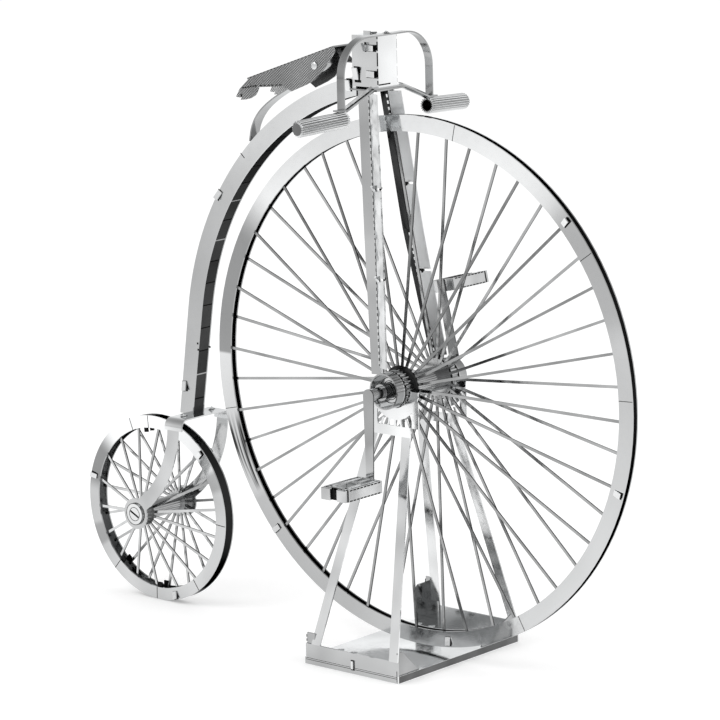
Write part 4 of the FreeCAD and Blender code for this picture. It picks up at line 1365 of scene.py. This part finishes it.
@dataclass
class Backbone:
    """The backbone with its edge strips, and the rear fork that it carries."""

    half: float = 1.75
    # Places forward and above the axle.
    lugs: tuple[tuple[float, float], ...] = ((-50.9, 33.3), (-62.3, -7.8))
    holes: tuple[tuple[float, float], ...] = ((-58.3, 1.6), (-58.2, 0.3))
    seam: tuple[float, float] = (-44.0, 41.9)
    crown_lug: tuple[float, float] = (-14.9, 58.0)
    # The rear fork's crown tab and the line on its blades: forward, outward and up.
    fork_clip: tuple[float, float, float] = (-60.6, 4.2, -13.68)
    blade_line: tuple[float, float, float] = (-72.5, 7.62, -35.5)

    def build(self, workshop: Workshop) -> None:
        """Dress the nodes and add tabs, holes and seams.

        Args:
            workshop: Where materials come from.
        """
        workshop.dress(SPINE, "backbone_side_plates", "backbone_outer_strip")
        workshop.dress(SPINE_FOLDS, "backbone_inner_strip")
        workshop.dress(LIT_SHEET, "rear_fork_crown")
        workshop.dress(REAR_BLADE_SHADE, "rear_fork_blade_right", "rear_fork_blade_left")
        trim = Trim("backbone")
        seam_x, seam_z = self.seam
        for side in Side:
            face = side.value * self.half
            for x, z in self.lugs:
                trim.lug((x, face, z), side.out, Vector((-z, 0, x)), size=(2.0, 1.1))
            x, z = self.crown_lug
            trim.lug((x, face, z), side.out, UPWARD, size=(2.3, 1.2))
            trim.slit((seam_x, face, seam_z), side.out, Vector((seam_x, 0, seam_z)), (1.4, 0.16))
            for x, z in self.holes:
                trim.slit((x, face, z), side.out, FORWARD, (0.4, 0.4))
            x, y, z = self.fork_clip
            trim.clip((x, side.value * y, z), UPWARD, LEFTWARD, span=1.8, reach=0.6)
            x, y, z = self.blade_line
            trim.slit((x, side.value * y, z), side.out, Vector((1, 0, 0.1)), (5.4, 0.12),
                      proud=0.0)
        trim.finish(workshop)


@dataclass
class Saddle:
    """The saddle with hatched sides, a tail flap, rivets and a leaf spring."""

    nose: tuple[float, float] = (-18.25, 65.6)
    rise: float = 19.25  # degrees by which it falls towards its tail
    length: float = 22.3
    nose_half: float = 2.4
    tail_half: float = 4.8
    spring: tuple[tuple[float, float], ...] = (
        (-42.4, 44.9), (-41.7, 48.2), (-39.6, 51.2), (-36.1, 53.8), (-32.0, 56.0), (-27.0, 58.3),
        (-21.9, 60.7), (-21.9, 63.7))
    spring_width: float = 2.6
    rivet: tuple[float, float] = (5.6, 2.4)  # behind the nose and below the top
    # Start and end of each row of slits, measured in the same way, with its count, fill and width.
    rows: tuple[tuple, ...] = (
        ((0.4, 0.1), (21.8, 0.1), 24, 0.4, 0.16), ((24.2, 1.55), (20.4, 2.15), 6, 0.6, 0.26),
        ((19.9, 2.3), (14.4, 3.75), 6, 0.5, 0.2), ((24.9, 3.3), (24.7, 2.6), 1, 0.9, 0.3))

    def point(self, back: float, down: float, out: float, side: Side) -> Vector:
        """A point on the saddle's side.

        Args:
            back: Distance behind the nose.
            down: Distance below the top plate.
            out: Distance outside the side plate.
            side: Which side.

        Returns:
            The point in millimetres from the large axle.
        """
        lean = math.radians(self.rise)
        half = self.nose_half + (self.tail_half - self.nose_half) * back / self.length
        return Vector((self.nose[0] - back * math.cos(lean) + down * math.sin(lean),
                       side.value * (half + out),
                       self.nose[1] - back * math.sin(lean) - down * math.cos(lean)))

    def build(self, workshop: Workshop) -> None:
        """Dress the nodes, build the spring, then add rivets and slits.

        Args:
            workshop: Where materials come from.
        """
        workshop.dress(HATCHED_PANEL, "saddle_sides")
        workshop.dress(HATCHED, "saddle_rear_flap")
        workshop.dress(SADDLE_EDGE, "saddle_top")
        # The nose bracket takes the dim copy: painted shade.
        workshop.dress(DIM, "saddle_nose_bracket")
        spring = Shape()
        path = eased([Vector((x, 0, z)) for x, z in self.spring], 3)
        spring.ribbon(path, LEFTWARD, [self.spring_width] * len(path), 0.3)
        spring.build("leaf_spring", "frame", SHADED, workshop, replaces=["saddle_leaf_spring"],
                     smooth=True)
        trim = Trim("saddle")
        for side in Side:
            for start, end, count, fill, width in self.rows:
                trim.stitch(self.point(*start, 0.02, side), self.point(*end, 0.02, side),
                            side.out, count, fill=fill, width=width)
            trim.bright.lathe(self.point(*self.rivet, 0.0, side), side.out, [
                (0.0, 0.0), (0.0, 0.8), (0.15, 0.75), (0.28, 0.45), (0.3, 0.0)], steps=20)
        trim.finish(workshop)


@dataclass
class Stand:
    """The stand: plate, walls, corner posts, gussets, legs and hub cradles."""

    back: float = 15.1
    front: float = 9.2
    half: float = 18.7
    floor: float = -55.45
    plate: float = -54.05
    sheet: float = 0.3
    post_tops: tuple[float, float] = (5.0, 8.6)  # right and left
    gusset_reaches: tuple[float, float] = (6.4, 11.0)  # right and left
    plate_clips: tuple[float, ...] = (-11.5, -8.0, 6.0)
    clip_y: float = 12.0
    staple: tuple[float, float] = (-2.5, 0.36)  # forward, and up from the plate

    def corner(self, trim: Trim, posts: Shape, side: Side) -> None:
        """Add a V-folded post at the rear corner and a gusset at the front one.

        Args:
            trim: Where slits and clips go.
            posts: Where the folded sheets go.
            side: Which side.
        """
        edge = side.value * (self.half - 0.4)
        which = int(side is Side.LEFT)
        top, reach = self.post_tops[which], self.gusset_reaches[which]
        rear = Vector((0.5 - self.back, edge, self.plate))
        posts.prism(rear, FORWARD, UPWARD, [
            (0, 0.02), (3.4, 0.02), (3.4, top * 0.6), (2.0, top * 0.72), (2.0, top), (0, top)],
            self.sheet)
        posts.prism(rear, -side.out, UPWARD, [
            (0, 0.02), (3.6, 0.02), (3.6, top * 0.78), (2.6, top * 0.86), (0, top * 0.86)],
            self.sheet)
        face = rear - FORWARD * 0.17
        trim.stitch(face + UPWARD * 0.4, face + UPWARD * (top - 0.3), -FORWARD, 5, width=0.3)
        posts.prism(Vector((self.front - 0.5, edge, self.plate)), -side.out, UPWARD, [
            (0, 0.02), (reach, 0.02), (reach - 1.2, 0.9), (1.4, 4.6), (0, 4.6)], self.sheet)

    def edges(self, workshop: Workshop) -> None:
        """Build the folded edges of the plate, front and sides, the front one in painted shade.

        Args:
            workshop: Where materials come from.
        """
        middle, run = (self.front - self.back) / 2, self.front + self.back
        level, height = (self.plate + self.floor) / 2, self.plate - self.floor - 0.1
        lip, skirts = Shape(), Shape()
        lip.block(Vector((self.front + 0.015, 0, level)), LEFTWARD, UPWARD,
                  (self.half * 2 - 0.6, height, 0.03))
        for side in Side:
            skirts.block(Vector((middle, side.value * (self.half + 0.005), level)), FORWARD,
                         UPWARD, (run - 0.1, height, 0.01))
        skirts.build("stand_side_skirts", "frame", WALL, workshop)
        lip.build("stand_front_lip", "frame", DIM, workshop)

    def build(self, workshop: Workshop) -> None:
        """Dress the nodes and add posts, gussets, edges, staples and slits.

        Args:
            workshop: Where materials come from.
        """
        workshop.dress(HEAD_SHEET, "stand_base")
        workshop.dress(WALL, "stand_wall_right", "stand_wall_left")
        # The far legs take a darker copy than the near legs and the cradles: painted light and
        # shade.
        workshop.dress(LIT_SHEET, "stand_rear_leg_left", "stand_front_leg_left")
        workshop.dress(HEAD_SHEET, "stand_rear_leg_right", "stand_front_leg_right",
                       "stand_cradle_right", "stand_cradle_left")
        trim = Trim("stand")
        posts = Shape()
        middle, run = (self.front - self.back) / 2, self.front + self.back
        for side in Side:
            self.corner(trim, posts, side)
            edge = side.value * self.half
            for drop in (0.1, 0.45):
                trim.slit((middle, edge, self.plate - drop), side.out, FORWARD, (run - 0.5, 0.09))
            trim.slit((self.front - 0.3, edge, self.plate), side.out, UPWARD, (2.2, 0.12))
            staple = Vector((self.staple[0], edge, self.plate + self.staple[1]))
            # Painted shadow round the staple.
            trim.slit(staple, side.out, UPWARD, (2.1, 0.95))
            trim.bright.block(staple + Vector((0.08, side.value * 0.2, 0.1)), UPWARD, FORWARD,
                              (1.6, 0.5, 0.35))
            for x in self.plate_clips:
                trim.clip((x, side.value * self.clip_y, self.plate), UPWARD, FORWARD, 1.6, 0.6)
        self.edges(workshop)
        posts.build("stand_posts", "frame", SHADED, workshop, replaces=["stand_gussets"])
        trim.finish(workshop)


# ------------------------------------------------------------------------------------------------
# Studio.
# ------------------------------------------------------------------------------------------------


@dataclass
class Studio:
    """Pale floor, soft light and camera.

    Attributes:
        eye: Camera place from the large axle, in millimetres.
        azimuth: Camera azimuth in degrees.
        elevation: Camera elevation in degrees.
        roll: Camera roll in degrees.
        lens: Focal length in millimetres.
        floor_reach: Half the floor's length, in metres.
        aim: Point that the lamps look at, in metres.
        lamps: Name, place, size and power of each lamp.
        room_light: Level that matt surfaces take from the room.
        floor_tone: Grey level of the floor.
        floor_glow: Light that the floor adds where it is seen directly.
    """

    eye: tuple[float, float, float] = (438.65, -515.12, 141.44)
    azimuth: float = 41.3833
    elevation: float = 11.4162
    roll: float = -1.3317
    lens: float = 175.83
    floor_reach: float = 4.0
    aim: tuple[float, float, float] = (0, 0, 0.05)
    lamps: tuple[tuple, ...] = (("key_lamp", (-0.35, -0.75, 0.9), 0.7, 3.0),
                                ("fill_lamp", (0.9, 0.2, 0.7), 0.6, 1.5))
    room_light: float = 0.85
    floor_tone: float = 0.82
    floor_glow: float = 0.3

    def camera(self) -> None:
        """Place the camera."""
        data = bpy.data.cameras.new("camera")
        data.lens = self.lens
        data.sensor_width = 36.0
        data.clip_start, data.clip_end = 0.01, 100.0
        camera = bpy.data.objects.new("camera", data)
        bpy.context.scene.collection.objects.link(camera)
        a, e, r = map(math.radians, (self.azimuth, self.elevation, self.roll))
        back = Vector((math.sin(a) * math.cos(e), -math.cos(a) * math.cos(e), math.sin(e)))
        right = Vector((math.cos(a), math.sin(a), 0))
        up = back.cross(right)
        rolled_right = right * math.cos(r) + up * math.sin(r)
        rolled_up = -right * math.sin(r) + up * math.cos(r)
        turn = Matrix((rolled_right, rolled_up, back)).transposed().to_4x4()
        camera.matrix_world = Matrix.Translation(LARGE_AXLE + Vector(self.eye) * MM) @ turn
        bpy.context.scene.camera = camera

    def lamp(self, name: str, place: Vector, size: float, power: float) -> None:
        """Add a square soft lamp aimed at the object.

        Args:
            name: Lamp name.
            place: Its place in metres.
            size: Edge length in metres.
            power: Power in watts.
        """
        data = bpy.data.lights.new(name, "AREA")
        data.size = size
        data.energy = power
        lamp = bpy.data.objects.new(name, data)
        bpy.context.scene.collection.objects.link(lamp)
        lamp.location = place
        lamp.rotation_mode = "QUATERNION"
        lamp.rotation_quaternion = (place - Vector(self.aim)).to_track_quat("Z", "Y")

    def backdrop(self) -> None:
        """White to the eye and in metal, with a dim ceiling, and a plain level for the rest."""
        world = bpy.data.worlds.new("studio")
        bpy.context.scene.world = world
        world.use_nodes = True
        tree = world.node_tree
        tree.nodes.clear()
        w = Wiring(tree)
        rays = w.add("ShaderNodeLightPath").outputs
        _, ahead, above = w.axes(w.add("ShaderNodeTexCoord").outputs["Generated"])
        room = w.calc("MULTIPLY", w.spread(above, 0.25, 0.85, 1.0, 0.3),
                      w.spread(ahead, -0.7, 0.2, 0.82, 1.0))
        seen = w.calc("MAXIMUM", rays["Is Camera Ray"], rays["Is Transmission Ray"])
        metal = w.calc("MULTIPLY", rays["Is Glossy Ray"], room)
        matt = w.calc("MULTIPLY", rays["Is Diffuse Ray"], self.room_light)
        level = w.calc("MAXIMUM", w.calc("MAXIMUM", seen, metal), matt)
        light = w.add("ShaderNodeBackground", {"Strength": level, "Color": (1, 1, 1, 1)})
        w.add("ShaderNodeOutputWorld", {0: light.outputs[0]})

    def floor(self) -> None:
        """A large pale floor that keeps the object's shadow."""
        data = bpy.data.meshes.new("floor")
        reach = self.floor_reach
        data.from_pydata([(-reach, -reach, 0), (reach, -reach, 0), (reach, reach, 0),
                          (-reach, reach, 0)], [], [(0, 1, 2, 3)])
        floor = bpy.data.objects.new("floor", data)
        bpy.context.scene.collection.objects.link(floor)
        material = bpy.data.materials.new("pale_floor")
        material.use_nodes = True
        material.node_tree.nodes.clear()
        w = Wiring(material.node_tree)
        rays = w.add("ShaderNodeLightPath").outputs
        ahead = w.axes(w.add("ShaderNodeTexCoord").outputs["Object"])[1]
        front = w.spread(ahead, -0.95, -0.2, 0.2, 1.0)
        metal = w.calc("MULTIPLY", rays["Is Glossy Ray"],
                       w.calc("MULTIPLY_ADD", front, 0.6, 0.12))
        seen = w.calc("MAXIMUM", rays["Is Camera Ray"], rays["Is Transmission Ray"])
        paint = w.blend(seen, (*[self.floor_tone / 2] * 3, 1), (*[self.floor_tone] * 3, 1))
        matt = w.add("ShaderNodeBsdfDiffuse", {"Color": paint})
        level = w.calc("MAXIMUM", w.calc("MULTIPLY", seen, self.floor_glow), metal)
        glow = w.add("ShaderNodeEmission", {"Strength": level})
        both = w.add("ShaderNodeAddShader", {0: matt.outputs[0], 1: glow.outputs[0]})
        w.add("ShaderNodeOutputMaterial", {0: both.outputs[0]})
        data.materials.append(material)
        floor.location = (0, 0, -0.0001)

    def build(self) -> None:
        """Build the whole studio."""
        scene = bpy.context.scene
        scene.view_settings.view_transform = "Standard"
        self.camera()
        self.backdrop()
        self.floor()
        for name, place, size, power in self.lamps:
            self.lamp(name, Vector(place), size, power)
        LOG.info("built the studio")


def main() -> None:
    """Build the studio and every sub-assembly in order."""
    logging.basicConfig(level=logging.INFO, format="%(name)s: %(message)s")
    workshop = Workshop()
    Studio().build()
    for part in (LargeWheel(), SmallWheel(), Cranks(), Fork(), Head(), Handlebar(), Backbone(),
                 Saddle(), Stand()):
        part.build(workshop)
        LOG.info("finished %s", type(part).__name__)


if __name__ == "__main__":
    main()
